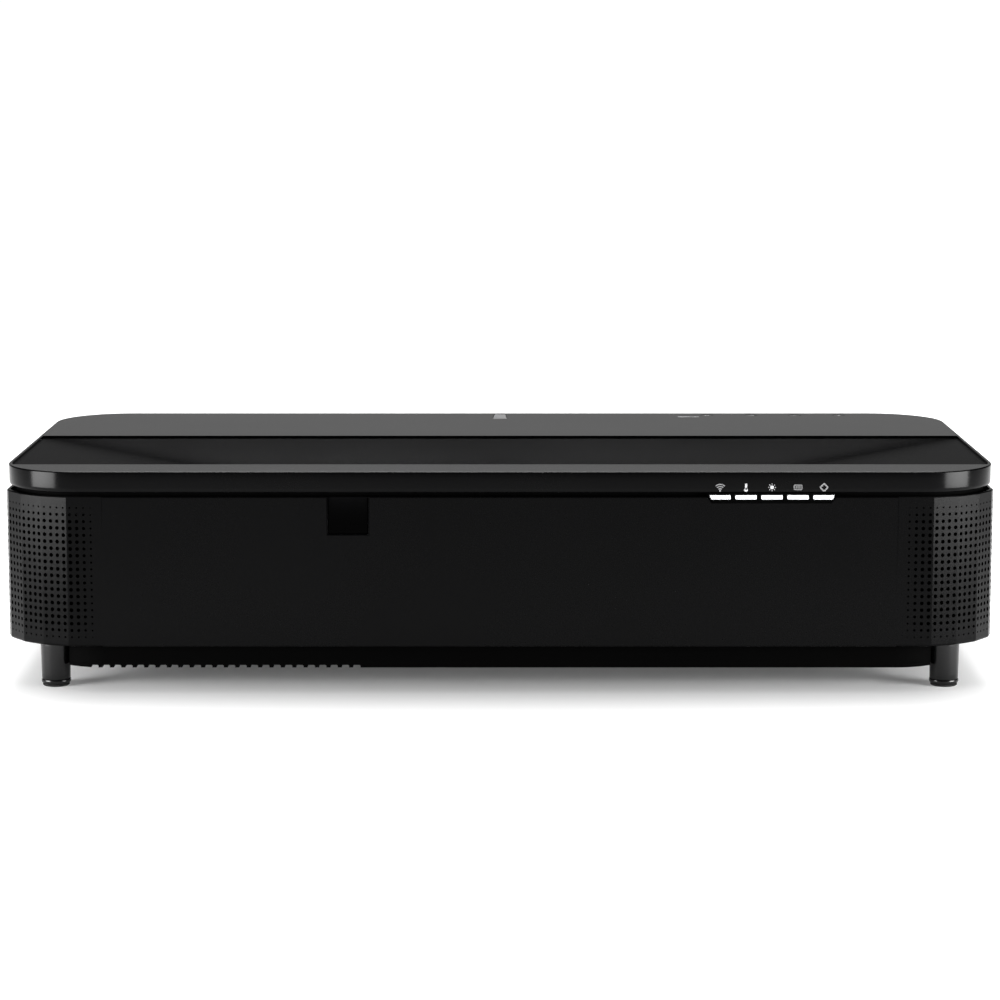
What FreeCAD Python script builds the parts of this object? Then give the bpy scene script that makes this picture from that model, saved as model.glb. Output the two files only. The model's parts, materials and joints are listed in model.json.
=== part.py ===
import FreeCAD, Part
import math
import os

# Home projector with a very short throw, in millimetres.
# Origin: centre of the outline, on the floor. +X right, +Y rear, +Z up. The front faces -Y.

# Overall size
width = 695.0
depth = 341.0
height = 156.0
half_w = width / 2
half_d = depth / 2
front_y = -half_d

# Levels, from the floor up
pan_bottom_z = 15.5
case_bottom_z = 33.1
case_top_z = 138.7
cover_bottom_z = 141.3

# Walls and gaps
wall = 2.5
cover_wall = 2.4
gap = 0.4

# Top cover and its valley
cover_radius = 55.0
rim_depth = 39.0
ridge_depth = 198.0
seam_drop = 1.6
valley_floor_z = 140.0
side_slope = 0.0916
rear_slope = 0.144
insert_wall = 2.2
window_half_w = 125.0
window_rear_y = -80.0
window_front_y = -124.0

# Perforated corners
flat_half = 300.4
hole_pitch = 4.79
hole_radius = 1.4
smallest_hole = 0.3
hole_rows = 20
first_row_z = 130.9
holes_per_facet = 4
facet_turn = 18.0
row_fade = (0.5, 0.8, 0.95)
column_fade = (0.97, 0.92, 0.8, 0.55)
panel_half_x = 276.0
panel_half_y = 104.5

# Feet
foot_x = 314.0
foot_y = 140.5
foot_radius = 10.6
foot_travel = 9.0
stud_radius = 4.0
running_gap = 0.05

# Centre line of the optics
lens_z = 92.0

up = FreeCAD.Vector(0, 0, 1)


def vec(x, y, z):
    return FreeCAD.Vector(x, y, z)


def block(x0, x1, y0, y1, z0, z1):
    return Part.makeBox(x1 - x0, y1 - y0, z1 - z0, vec(x0, y0, z0))


def rod(radius, length, start, along):
    return Part.makeCylinder(radius, length, start, along)


def tube(outer, inner, length, start, along):
    return rod(outer, length, start, along).cut(rod(inner, length, start, along))


def prism(points, z0, z1):
    corners = [vec(x, y, z0) for x, y in points]
    corners.append(corners[0])
    return Part.Face(Part.makePolygon(corners)).extrude(vec(0, 0, z1 - z0))


def rounded_block(half_x, half_y, radius, z0, z1):
    solid = block(-half_x, half_x, -half_y, half_y, z0, z1)
    uprights = [e for e in solid.Edges if abs(e.tangentAt(e.FirstParameter).z) > 0.9]
    return solid.makeFillet(radius, uprights)


def edges_at(solid, z):
    return [e for e in solid.Edges if all(abs(v.Z - z) < 1e-6 for v in e.Vertexes)]


def half_turned(solid):
    return solid.rotated(vec(0, 0, 0), up, 180)


def mirrored_x(solid):
    return solid.mirror(vec(0, 0, 0), vec(1, 0, 0))


def group(solids):
    flat = []
    for solid in solids:
        flat.extend(solid.Solids)
    return Part.makeCompound(flat)


def save(node, shape):
    shape.exportStep("parts/" + node + ".step")


def revolved(profile, centre, axis):
    # profile: (radius, distance along the axis) pairs, closed by the last point
    side = vec(1, 0, 0) if abs(axis.x) < 0.5 else vec(0, 1, 0)
    points = [centre + side * r + axis * d for r, d in profile]
    points.append(points[0])
    return Part.Face(Part.makePolygon(points)).revolve(centre, axis, 360)


# Outline of the case

def corner_outline(inset):
    # Rear-going chain of points round the right front corner: flat front, four facets, flat side.
    # Each facet turns 18 degrees further; an inset moves every corner along its bisector.
    headings = [0, facet_turn, 2 * facet_turn, 3 * facet_turn, 4 * facet_turn, 90]
    x = flat_half
    y = 0.0
    corners = [(x, y)]
    for heading in headings[1:4]:
        x += holes_per_facet * hole_pitch * math.cos(math.radians(heading))
        y += holes_per_facet * hole_pitch * math.sin(math.radians(heading))
        corners.append((x, y))
    y += (half_w - x) * math.tan(math.radians(headings[4]))
    corners.append((half_w, y))
    bisector = inset / math.cos(math.radians(facet_turn / 2))
    chain = []
    for heading, (x, y) in zip(headings, corners):
        angle = math.radians(heading + facet_turn / 2)
        chain.append((x - bisector * math.sin(angle), front_y + y + bisector * math.cos(angle)))
    return chain


def case_outline(inset):
    right_front = corner_outline(inset)
    right_rear = [(x, -y) for x, y in reversed(right_front)]
    left_rear = [(-x, y) for x, y in reversed(right_rear)]
    left_front = [(-x, y) for x, y in reversed(right_front)]
    return right_front + right_rear + left_rear + left_front


# Top cover and valley

def valley_air(y_front, half_x, z_drop):
    # Space above the valley's surface: above the floor, both side facets and the rear slope.
    top = height + 10
    edge_z = height - seam_drop - z_drop
    floor_z = valley_floor_z - z_drop
    y_rear = front_y + ridge_depth - 0.5
    air = block(-half_x, half_x, y_front, y_rear, floor_z, top)
    run = (edge_z - floor_z) / rear_slope
    wedge = Part.Face(Part.makePolygon([
        vec(-half_w, y_rear, edge_z),
        vec(-half_w, y_rear - run, floor_z),
        vec(-half_w, y_rear - run, floor_z - 5),
        vec(-half_w, y_rear + 1, floor_z - 5),
        vec(-half_w, y_rear + 1, edge_z),
        vec(-half_w, y_rear, edge_z)])).extrude(vec(width, 0, 0))
    air = air.cut(wedge)
    side_run = (edge_z - floor_z) / side_slope
    side_edge = half_w - 3.5
    for side in (-1, 1):
        facet = Part.Face(Part.makePolygon([
            vec(side * side_edge, -half_d, edge_z),
            vec(side * (side_edge - side_run), -half_d, floor_z),
            vec(side * (side_edge - side_run), -half_d, floor_z - 5),
            vec(side * half_w, -half_d, floor_z - 5),
            vec(side * half_w, -half_d, edge_z),
            vec(side * side_edge, -half_d, edge_z)])).extrude(vec(0, depth, 0))
        air = air.cut(facet)
    return air


button_xs = (165.0, 200.0, 235.0, 270.0)
button_y = front_y + 327.0
button_radius = 4.6


def sensor_shape(shrink, z0, z1):
    front = 5.85 - shrink
    rear = 4.4 - shrink
    y0 = front_y + 304 + shrink
    y1 = front_y + 334 - shrink
    return prism([(-front, y0), (front, y0), (rear, y1), (-rear, y1)], z0, z1)


def top_cover():
    shell = rounded_block(half_w, half_d, cover_radius, cover_bottom_z, height)
    shell = shell.makeFillet(0.8, edges_at(shell, height))
    shell = shell.makeChamfer(1.4, edges_at(shell, cover_bottom_z))
    shell = shell.cut(rounded_block(half_w - cover_wall, half_d - cover_wall, cover_radius - cover_wall,
                                    cover_bottom_z, height - cover_wall))
    valley = block(-half_w + cover_wall, half_w - cover_wall, front_y + rim_depth, front_y + ridge_depth,
                   cover_bottom_z, height + 1)
    shell = shell.cut(valley)
    for x in button_xs:
        shell = shell.cut(rod(button_radius + gap, 10, vec(x, button_y, height - 6), up))
    shell = shell.cut(sensor_shape(0, height - 6, height + 1))
    return shell.cut(light_tray_relief())


def light_tray_relief():
    # The light tray rises behind the cover's front edge, so the edge is relieved there.
    return block(light_left_x - 1, light_right_x + 1, front_y + 1.2, front_y + 4, cover_bottom_z - 1,
                 cover_bottom_z + 1.2)


def valley_insert():
    outer_half = half_w - cover_wall - 0.2
    outer = valley_air(front_y + rim_depth + 0.3, outer_half, insert_wall)
    lid = block(-half_w, half_w, -half_d, half_d, height - seam_drop, height + 20)
    inner = valley_air(front_y + rim_depth + 0.3 + insert_wall, half_w, 0)
    tray = outer.cut(lid).cut(inner)
    window = block(-window_half_w, window_half_w, window_front_y, window_rear_y, valley_floor_z - 5,
                   valley_floor_z + 2)
    return tray.cut(window)


def projection_window():
    top_z = valley_floor_z - insert_wall
    pane = block(-window_half_w - 5, window_half_w + 5, window_front_y - 4, window_rear_y + 4, top_z - 2.4, top_z)
    return pane


def seam_band():
    outer = rounded_block(half_w - 5, half_d - 5, cover_radius - 5, 126, 147)
    return outer.cut(rounded_block(half_w - 8, half_d - 8, cover_radius - 8, 126, 147))


def sensor_window():
    return sensor_shape(0.3, height - cover_wall, height - 0.1)


# Case walls

receiver_x = -105.3
receiver_half_w = 14.0
receiver_bottom_z = 112.2
light_left_x = 143.7
light_right_x = 231.9
light_bottom_z = 134.9


def light_notch(shrink):
    # Trapezoid with its lower corners cut off at 45 degrees.
    cut_corner = 3.0
    x0 = light_left_x + shrink
    x1 = light_right_x - shrink
    z0 = light_bottom_z + shrink
    z1 = case_top_z + 3
    points = [(x0, z1), (x0, z0 + cut_corner), (x0 + cut_corner, z0), (x1 - cut_corner, z0), (x1, z0 + cut_corner),
              (x1, z1)]
    corners = [vec(x, front_y - 1, z) for x, z in points]
    corners.append(corners[0])
    return Part.Face(Part.makePolygon(corners)).extrude(vec(0, 12, 0))


edge_bevel = 0.7


def front_panel():
    panel = block(-panel_half_x, panel_half_x, front_y, front_y + wall, case_bottom_z, case_top_z)
    outer_edges = [e for e in panel.Edges
                   if all(abs(v.Y - front_y) < 1e-6 for v in e.Vertexes)
                   and abs(e.Vertexes[0].Z - e.Vertexes[-1].Z) < 1e-6]
    panel = panel.makeChamfer(edge_bevel, outer_edges)
    receiver = block(receiver_x - receiver_half_w, receiver_x + receiver_half_w, front_y - 1, front_y + wall + 1,
                     receiver_bottom_z, case_top_z + 1)
    return panel.cut(receiver).cut(light_notch(0))


def corner_wall():
    outer = [(panel_half_x, front_y)] + corner_outline(0) + [(half_w, -panel_half_y)]
    inner = [(panel_half_x, front_y + wall)] + corner_outline(wall) + [(half_w - wall, -panel_half_y)]
    solid = prism(outer + inner[::-1], case_bottom_z, case_top_z)
    rim = []
    for edge in edges_at(solid, case_top_z):
        ends = [(round(v.X, 3), round(v.Y, 3)) for v in edge.Vertexes]
        if all(end in [(round(x, 3), round(y, 3)) for x, y in outer] for end in ends):
            rim.append(edge)
    return solid.makeChamfer(edge_bevel, rim), outer


def perforations(outer):
    # Round holes on a square grid along each flat of the corner; they shrink towards the top and bottom
    # rows, and along the front and the side away from the corner.
    drills = []
    spans = list(zip(outer[:-1], outer[1:]))
    for index, ((x0, y0), (x1, y1)) in enumerate(spans):
        length = math.hypot(x1 - x0, y1 - y0)
        ux = (x1 - x0) / length
        uy = (y1 - y0) / length
        if index == 0:
            columns = [(length - hole_pitch * (k + 0.5), fade) for k, fade in enumerate(column_fade)]
        elif index == len(spans) - 1:
            columns = [(hole_pitch * (k + 0.5), fade) for k, fade in enumerate(column_fade)]
        elif length < 2 * hole_pitch:
            columns = [(length / 2, 1.0)]
        else:
            columns = [(hole_pitch * (k + 0.5), 1.0) for k in range(holes_per_facet)]
        inward = vec(-uy, ux, 0)
        for along, fade in columns:
            for row in range(hole_rows):
                from_end = min(row, hole_rows - 1 - row)
                row_scale = row_fade[from_end] if from_end < len(row_fade) else 1.0
                radius = hole_radius * fade * row_scale
                if radius < smallest_hole:
                    continue
                start = vec(x0 + ux * along, y0 + uy * along, first_row_z - row * hole_pitch) - inward
                drills.append(rod(radius, wall + 2, start, inward))
    return Part.makeCompound(drills)


def corner_grilles():
    solid, outer = corner_wall()
    right_front = solid.cut(perforations(outer))
    left_front = mirrored_x(right_front)
    return group([right_front, left_front, half_turned(right_front), half_turned(left_front)])


vent_pitch = 8.0
vent_half_w = 2.2


def vent_slots(x0, x1, y_centre, count, z0, z1):
    slots = []
    for k in range(count):
        y = y_centre + (k - (count - 1) / 2) * vent_pitch
        slots.append(block(x0, x1, y - vent_half_w, y + vent_half_w, z0, z1))
    return Part.makeCompound(slots)


fan_side = 70.0
fan_z = 84.0
exhaust_ys = (-45.0, 45.0)
door_half_y = 80.0
door_z0 = 44.0
door_z1 = 124.0


def left_side_panel():
    panel = block(-half_w, -half_w + wall, -panel_half_y, panel_half_y, case_bottom_z, case_top_z)
    for y in exhaust_ys:
        panel = panel.cut(vent_slots(-half_w - 1, -half_w + wall + 1, y, 9, fan_z - 34, fan_z + 34))
    return panel


def right_side_panel():
    panel = block(half_w - wall, half_w, -panel_half_y, panel_half_y, case_bottom_z, case_top_z)
    return panel.cut(block(half_w - wall - 1, half_w + 1, -door_half_y, door_half_y, door_z0, door_z1))


bay_x0 = 84.0
bay_x1 = 256.0
bay_z0 = 42.0
bay_z1 = 98.0
bay_front_y = 138.0
inlet_x = -230.0
inlet_z = 66.0


def rear_panel():
    y0 = half_d - wall
    panel = block(-panel_half_x, panel_half_x, y0, half_d, case_bottom_z, case_top_z)
    panel = panel.cut(block(bay_x0, bay_x1, y0 - 1, half_d + 1, bay_z0, bay_z1))
    panel = panel.cut(block(inlet_x - 14, inlet_x + 14, y0 - 1, half_d + 1, inlet_z - 10.5, inlet_z + 10.5))
    panel = panel.cut(block(-171.5, -164.5, y0 - 1, half_d + 1, 58, 61))
    return panel


def case_bottom():
    plate = prism(case_outline(wall), case_bottom_z, case_bottom_z + 2.9)
    for x in (-foot_x, foot_x):
        for y in (-foot_y, foot_y):
            plate = plate.cut(rod(stud_radius + gap, 10, vec(x, y, case_bottom_z - 3), up))
    return plate


pan_half_x = 318.0
pan_half_y = half_d - 14.0
pan_radius = 40.0
pan_wall = 2.4
tooth_count = 24
tooth_pitch = 8.0
tooth_first_x = -284.5
tooth_half_w = 2.6
tooth_height = 2.2
mount_x = 125.0
mount_y = 75.0
mount_hole_radius = 2.0
mount_insert_radius = 4.0


def pan_body(inset, z0, z1):
    solid = rounded_block(pan_half_x - inset, pan_half_y - inset, pan_radius - inset, z0, z1)
    for x in (-foot_x, foot_x):
        for y in (-foot_y, foot_y):
            solid = solid.cut(rod(foot_radius + 1.8 + inset, z1 - z0, vec(x, y, z0), up))
    return solid


def base_pan():
    pan = pan_body(0, pan_bottom_z, case_bottom_z)
    pan = pan.cut(pan_body(pan_wall, pan_bottom_z + pan_wall, case_bottom_z + 1))
    notches = []
    for k in range(tooth_count):
        x = tooth_first_x + tooth_pitch * k
        notch = block(x - tooth_half_w, x + tooth_half_w, -pan_half_y - 1, -pan_half_y + 9, pan_bottom_z - 1,
                      pan_bottom_z + tooth_height - 1.2)
        arch = rod(tooth_half_w, 10, vec(0, 0, 0), vec(0, 1, 0))
        matrix = FreeCAD.Matrix()
        matrix.scale(1, 1, 1.2 / tooth_half_w)
        arch = arch.transformGeometry(matrix)
        arch.translate(vec(x, -pan_half_y - 1, pan_bottom_z + tooth_height - 1.2))
        notches.append(notch.fuse(arch))
    pan = pan.cut(Part.makeCompound(notches))
    slots = []
    for k in range(12):
        x = (k - 5.5) * 12
        for y in (-100, 30):
            slots.append(block(x - 2, x + 2, y, y + 70, pan_bottom_z - 1, pan_bottom_z + 4))
    pan = pan.cut(Part.makeCompound(slots))
    for x in (-mount_x, mount_x):
        for y in (-mount_y, mount_y):
            pan = pan.cut(rod(mount_insert_radius, 10, vec(x, y, pan_bottom_z - 1), up))
    return pan


# Front details

def receiver_window():
    pane = block(receiver_x - receiver_half_w + 0.2, receiver_x + receiver_half_w - 0.2, front_y + 1.4,
                 front_y + 3.4, receiver_bottom_z + 0.2, case_top_z)
    return pane


def status_light_tray():
    tray = light_notch(0.3).common(block(-half_w, half_w, front_y + 0.3, front_y + 4.4, 0, case_top_z + 2.4))
    return tray.cut(Part.makeCompound(light_bar_boxes(0.2, front_y - 1, front_y + 6)))


light_count = 5
light_z0 = 136.8
light_z1 = 139.8
light_first_x = 144.9
light_pitch = 18.0
light_width = 14.6
light_slant = 1.5


def light_bar_boxes(grow, y0, y1):
    # Five bars across the tray; the outer end of the first and the last one slants.
    bars = []
    for k in range(light_count):
        x0 = light_first_x + light_pitch * k - grow
        x1 = light_first_x + light_pitch * k + light_width + grow
        left = light_slant if k == 0 else 0
        right = light_slant if k == light_count - 1 else 0
        points = [(x0 + left, light_z0 - grow), (x1 - right, light_z0 - grow), (x1, light_z1 + grow),
                  (x0, light_z1 + grow)]
        corners = [vec(x, y0, z) for x, z in points]
        corners.append(corners[0])
        bars.append(Part.Face(Part.makePolygon(corners)).extrude(vec(0, y1 - y0, 0)))
    return bars


def status_lenses():
    return group(light_bar_boxes(0, front_y + 0.1, front_y + 4.4))


# Buttons

def button(x):
    # Cap flush with the cover, a skirt below the plate and a stem above the board's dome.
    profile = [(0, -8.8), (1.6, -8.8), (1.6, -4.4), (button_radius + 1.2, -4.4), (button_radius + 1.2, -3.2),
               (button_radius, -3.2), (button_radius, -0.4), (button_radius - 0.4, 0), (0, 0)]
    return revolved(profile, vec(x, button_y, height), up)


def button_board():
    board = block(152, 283, button_y - 9, button_y + 3, 143.0, 144.6)
    domes = [rod(3.0, 1.2, vec(x, button_y, 144.6), up) for x in button_xs]
    return board.multiFuse(domes)


# Side door, filter and latch

def filter_door():
    door = block(half_w - wall, half_w, -door_half_y + gap, door_half_y - gap, door_z0 + gap, door_z1 - gap)
    door = door.cut(vent_slots(half_w - wall - 1, half_w + 1, 0, 17, 52, 102))
    door = door.cut(block(half_w - wall - 1, half_w + 1, -14, 14, 106.5, 120.5))
    return door


def filter_latch():
    thumb = block(half_w - 2.0, half_w - 0.2, -13.4, 13.4, 110.6, 120.0)
    back = block(half_w - 4.6, half_w - 2.9, -15.5, 15.5, 110.0, 121.5)
    neck = block(half_w - 3.2, half_w - 1.6, -12.5, 12.5, 111.0, 119.6)
    latch = thumb.fuse(back).fuse(neck)
    for k in range(3):
        y_ridge = block(half_w - 0.9, half_w + 0.5, -9, 9, 112.6 + 2.4 * k, 113.4 + 2.4 * k)
        latch = latch.cut(y_ridge)
    return latch


def air_filter():
    y1 = 72.0
    z0 = 50.0
    z1 = 106.0
    x0 = 328.0
    x1 = 341.5
    frame = block(x0, x1, -y1, y1, z0, z1).cut(block(x0 - 1, x1 + 1, -y1 + 3, y1 - 3, z0 + 3, z1 - 3))
    pleat_count = 23
    step = 2 * (y1 - 3) / pleat_count
    near = [(x0 + 1, -y1 + 3 + step * (k / 2)) if k % 2 == 0 else (x1 - 3, -y1 + 3 + step * (k / 2))
            for k in range(2 * pleat_count + 1)]
    far = [(x + 1.6, y) for x, y in reversed(near)]
    pleats = prism(near + far, z0 + 2.9, z1 - 2.9)
    return frame.fuse(pleats)


# Rear cover, bay and sockets

def cable_cover():
    y0 = half_d - wall
    cover = block(bay_x0 + gap, bay_x1 - gap, y0, half_d, bay_z0 + gap, bay_z1 - gap)
    cover = cover.cut(block(135, 205, y0 - 1, half_d + 1, bay_z0 - 1, bay_z0 + 9))
    for x in (bay_x0 + 2.6, bay_x1 - 4.6):
        cover = cover.fuse(block(x, x + 2, y0 - 9, y0 + 0.1, 60, 80))
    return cover


hdmi_xs = (104.0, 128.0, 152.0)
usb_xs = (178.0, 200.0)
jack_xs = (222.0, 238.0)
socket_z = 57.6
socket_front_y = 126.0
socket_mouth_y = 141.0


def socket_holes():
    holes = [block(x - 8, x + 8, bay_front_y - 1, bay_front_y + 4, socket_z - 0.1, socket_z + 6.1) for x in hdmi_xs]
    holes += [block(x - 7.1, x + 7.1, bay_front_y - 1, bay_front_y + 4, socket_z - 0.1, socket_z + 7.3)
              for x in usb_xs]
    holes += [rod(4.1, 5, vec(x, bay_front_y - 1, socket_z + 4.2), vec(0, 1, 0)) for x in jack_xs]
    return Part.makeCompound(holes)


def terminal_bay():
    y1 = half_d - wall
    bay = block(bay_x0 - 2, bay_x1 + 2, bay_front_y, y1, bay_z0 - 2, bay_z1 + 2)
    bay = bay.cut(block(bay_x0, bay_x1, bay_front_y + 2, y1 + 1, bay_z0, bay_z1))
    return bay.cut(socket_holes())


def hdmi_sockets():
    sockets = []
    for x in hdmi_xs:
        outer = block(x - 7.9, x + 7.9, socket_front_y, socket_mouth_y, socket_z, socket_z + 6.0)
        hollow = block(x - 7.2, x + 7.2, socket_front_y + 2, socket_mouth_y + 1, socket_z + 0.6, socket_z + 5.4)
        sockets.append(outer.cut(hollow))
    return group(sockets)


def usb_sockets():
    sockets = []
    for x in usb_xs:
        outer = block(x - 7.0, x + 7.0, socket_front_y, socket_mouth_y, socket_z, socket_z + 7.2)
        hollow = block(x - 6.3, x + 6.3, socket_front_y + 2, socket_mouth_y + 1, socket_z + 0.7, socket_z + 6.5)
        tongue = block(x - 5.6, x + 5.6, socket_front_y + 1, socket_mouth_y - 6.5, socket_z + 4.4, socket_z + 6.0)
        sockets.append(outer.cut(hollow).fuse(tongue))
    return group(sockets)


def audio_jacks():
    jacks = []
    for x in jack_xs:
        body = block(x - 4.5, x + 4.5, socket_front_y, bay_front_y, socket_z, socket_z + 8.4)
        nose = rod(4.0, socket_mouth_y - bay_front_y, vec(x, bay_front_y, socket_z + 4.2), vec(0, 1, 0))
        bore = rod(1.8, 20, vec(x, socket_front_y + 2, socket_z + 4.2), vec(0, 1, 0))
        jacks.append(body.fuse(nose).cut(bore))
    return group(jacks)


def mains_inlet():
    y1 = half_d - wall
    outer = block(inlet_x - 13.8, inlet_x + 13.8, y1 - 20, half_d - 0.2, inlet_z - 10.3, inlet_z + 10.3)
    hollow = block(inlet_x - 12.3, inlet_x + 12.3, y1 - 17, half_d + 1, inlet_z - 8.4, inlet_z + 8.4)
    body = outer.cut(hollow)
    for x, z in ((-7.0, -1.5), (7.0, -1.5), (0.0, 2.5)):
        body = body.fuse(block(inlet_x + x - 1, inlet_x + x + 1, y1 - 18, half_d - 6, inlet_z + z - 2,
                               inlet_z + z + 2))
    return body


# Boards

def main_board():
    top_z = socket_z
    board = block(bay_x0 + 2, bay_x1 + 30, 52, bay_front_y, top_z - 1.6, top_z)
    chips = [block(120, 150, 70, 100, top_z, top_z + 3), block(165, 185, 75, 95, top_z, top_z + 2),
             block(200, 216, 62, 90, top_z, top_z + 2), block(228, 238, 70, 110, top_z, top_z + 9)]
    return board.multiFuse(chips)


def power_board():
    board = block(90, 285, -98, 30, 44, 45.6)
    tall = [block(100, 140, -85, -50, 45.6, 80), block(155, 195, -88, -60, 45.6, 72),
            block(205, 245, -85, -40, 45.6, 68)]
    cans = [rod(9, 34, vec(110 + 26 * k, 5, 45.6), up) for k in range(5)]
    return board.multiFuse(tall + cans)


# Fans

along_x = vec(1, 0, 0)
fan_depth = 20.0
fan_bore = 33.0
hub_radius = 14.0
shaft_radius = 1.5


def fan_frame(x0, y):
    frame = block(x0, x0 + fan_depth, y - fan_side / 2, y + fan_side / 2, fan_z - fan_side / 2, fan_z + fan_side / 2)
    frame = frame.cut(rod(fan_bore, fan_depth, vec(x0, y, fan_z), along_x))
    cup = rod(hub_radius, 4, vec(x0, y, fan_z), along_x)
    strut = block(x0, x0 + 2.5, y - 2, y + 2, fan_z - fan_bore - 1, fan_z + fan_bore + 1)
    spider = cup.fuse(strut).fuse(strut.rotated(vec(x0, y, fan_z), along_x, 90))
    spider = spider.cut(rod(shaft_radius + running_gap, 10, vec(x0 - 1, y, fan_z), along_x))
    return frame.fuse(spider)


def impeller(x0, y):
    hub = rod(hub_radius, 14, vec(x0 + 4.6, y, fan_z), along_x)
    shaft = rod(shaft_radius, 4, vec(x0 + 1, y, fan_z), along_x)
    solid = hub.fuse(shaft)
    blade_count = 7
    for k in range(blade_count):
        blade = block(x0 + 5.0, x0 + 19.0, y - 0.7, y + 0.7, fan_z + hub_radius - 1, fan_z + fan_bore + 2)
        blade = blade.rotated(vec(x0 + 12, y, fan_z), up, 42)
        blade = blade.rotated(vec(x0, y, fan_z), along_x, 360.0 * k / blade_count)
        solid = solid.fuse(blade)
    return solid.common(rod(fan_bore - 1.4, 30, vec(x0, y, fan_z), along_x))


exhaust_x0 = -336.0
intake_x0 = 300.0


# Light source and optics

engine_y0 = 45.0
engine_y1 = 125.0
engine_z0 = 58.0
engine_z1 = 124.0


def heat_sink():
    base = block(-294, -290 + 90, engine_y0, engine_y1, 46, 52)
    fins = [block(-294 + 5 * k, -294 + 5 * k + 1.2, engine_y0, engine_y1, 51.9, 122) for k in range(19)]
    return base.multiFuse(fins).cut(heat_pipe_bores(3.0))


def heat_pipe_bores(radius):
    return Part.makeCompound([rod(radius, 170, vec(-296, y, z), along_x)
                              for y, z in ((62, 80), (85, 100), (108, 80))])


def heat_pipes():
    return group([rod(3.0, 98, vec(-295, y, z), along_x) for y, z in ((62, 80), (85, 100), (108, 80))])


def laser_module():
    body = block(-197, -140, engine_y0, engine_y1, engine_z0, engine_z1)
    for k in range(4):
        for j in range(3):
            nose = rod(4, 6, vec(-140, engine_y0 + 13 + 18 * k, engine_z0 + 14 + 19 * j), along_x)
            body = body.fuse(nose)
    return body


wheel_y = 85.0
wheel_z = 91.0
wheel_x = -104.0


def wheel_housing():
    box = block(-132, -66, engine_y0, engine_y1, engine_z0, engine_z1)
    box = box.cut(block(-129, -69, engine_y0 + 3, engine_y1 - 3, engine_z0 + 3, engine_z1 + 1))
    post = rod(9, 19, vec(-129.1, wheel_y, wheel_z), along_x)
    post = post.cut(rod(2 + running_gap, 18, vec(-127, wheel_y, wheel_z), along_x))
    return box.fuse(post)


def phosphor_wheel():
    disc = rod(29, 1.5, vec(wheel_x, wheel_y, wheel_z), along_x)
    hub = rod(10, 5, vec(wheel_x - 1, wheel_y, wheel_z), along_x)
    shaft = rod(2, 14, vec(wheel_x - 14, wheel_y, wheel_z), along_x)
    return disc.fuse(hub).fuse(shaft)


def optical_block():
    body = block(-62, 62, engine_y0, engine_y1, engine_z0 - 6, engine_z1)
    pocket = block(-50, 50, engine_y0 + 12, engine_y1 - 8, engine_z0, engine_z1 + 1)
    bore = rod(24, 14, vec(0, engine_y0 - 1, lens_z), vec(0, 1, 0))
    ribs = [block(-62 + 20.4 * k, -62 + 20.4 * k + 2, engine_y1, engine_y1 + 4, engine_z0, engine_z1 - 6)
            for k in range(7)]
    return body.cut(pocket).cut(bore).multiFuse([r.translated(vec(0, -0.01, 0)) for r in ribs])


along_y = vec(0, 1, 0)
ring_y0 = -6.0
ring_y1 = 6.0
barrel_step = 27.0


def lens_barrel():
    # Stepped tube: rear flange, a smooth seat for the focus ring, a shoulder and a wide front bell.
    profile = [(20, 0), (34, 0), (34, -6), (barrel_step, -6), (barrel_step, -52), (30, -52), (34, -72), (38, -88),
               (38, -98), (33, -98), (26, -72), (20, -52)]
    return revolved(profile, vec(0, engine_y0, lens_z), along_y)


def front_lens():
    # Plano-convex glass in the bell's mouth.
    start = vec(0, engine_y0 - 96, lens_z)
    disc = rod(32.2, 6, start, along_y)
    ball_radius = 60.0
    dome = Part.makeSphere(ball_radius, start + vec(0, ball_radius - 7.5, 0))
    cap = dome.common(rod(32.2, 8.5, start + vec(0, -8.4, 0), along_y))
    glass = disc.fuse(cap)
    return glass.common(rod(32.2, 20, start + vec(0, -8, 0), along_y)).cut(bell_clearance())


def bell_clearance():
    profile = [(33, -98), (26, -72), (60, -72), (60, -98)]
    return revolved(profile, vec(0, engine_y0, lens_z), along_y)


ring_teeth = 66
pinion_teeth = 12
gear_module = 1.0
pinion_angle = 50.0


def gear(teeth, bore, y0, y1, phase):
    # Straight-flanked teeth, slimmer than half a pitch so that the pair runs with backlash.
    pitch_radius = gear_module * teeth / 2
    root = pitch_radius - 1.25 * gear_module
    tip = pitch_radius + 0.75 * gear_module
    points = []
    for k in range(teeth):
        centre = 2 * math.pi * k / teeth + phase
        for radius, half in ((root, 0.80), (tip, 0.30), (tip, -0.30), (root, -0.80)):
            angle = centre - half / radius
            points.append(vec(radius * math.sin(angle), 0, radius * math.cos(angle)))
    points.append(points[0])
    body = Part.Face(Part.makePolygon(points)).extrude(vec(0, y1 - y0, 0))
    body = body.cut(rod(bore, y1 - y0 + 2, vec(0, -1, 0), along_y))
    body.translate(vec(0, y0, 0))
    return body


def focus_ring():
    ring = gear(ring_teeth, barrel_step + running_gap, ring_y0, ring_y1, 0)
    ring.translate(vec(0, 0, lens_z))
    return ring


def pinion_centre():
    reach = gear_module * (ring_teeth + pinion_teeth) / 2
    angle = 2 * math.pi * round(pinion_angle / 360 * ring_teeth) / ring_teeth
    return reach * math.sin(angle), lens_z + reach * math.cos(angle), angle


def focus_pinion():
    x, z, angle = pinion_centre()
    phase = angle + math.pi + math.pi / pinion_teeth
    pinion = gear(pinion_teeth, 0.01, ring_y0 + 1, ring_y1 - 1, phase)
    pinion = pinion.fuse(rod(2.0, 22, vec(0, ring_y0 + 2, 0), along_y))
    pinion.translate(vec(x, 0, z))
    return pinion


def focus_motor():
    x, z, angle = pinion_centre()
    body = rod(9, 24, vec(x, ring_y1 + 4, z), along_y)
    body = body.cut(rod(2.0 + running_gap, 12.5, vec(x, ring_y1 + 3, z), along_y))
    return body


mirror_y = -150.0


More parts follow.
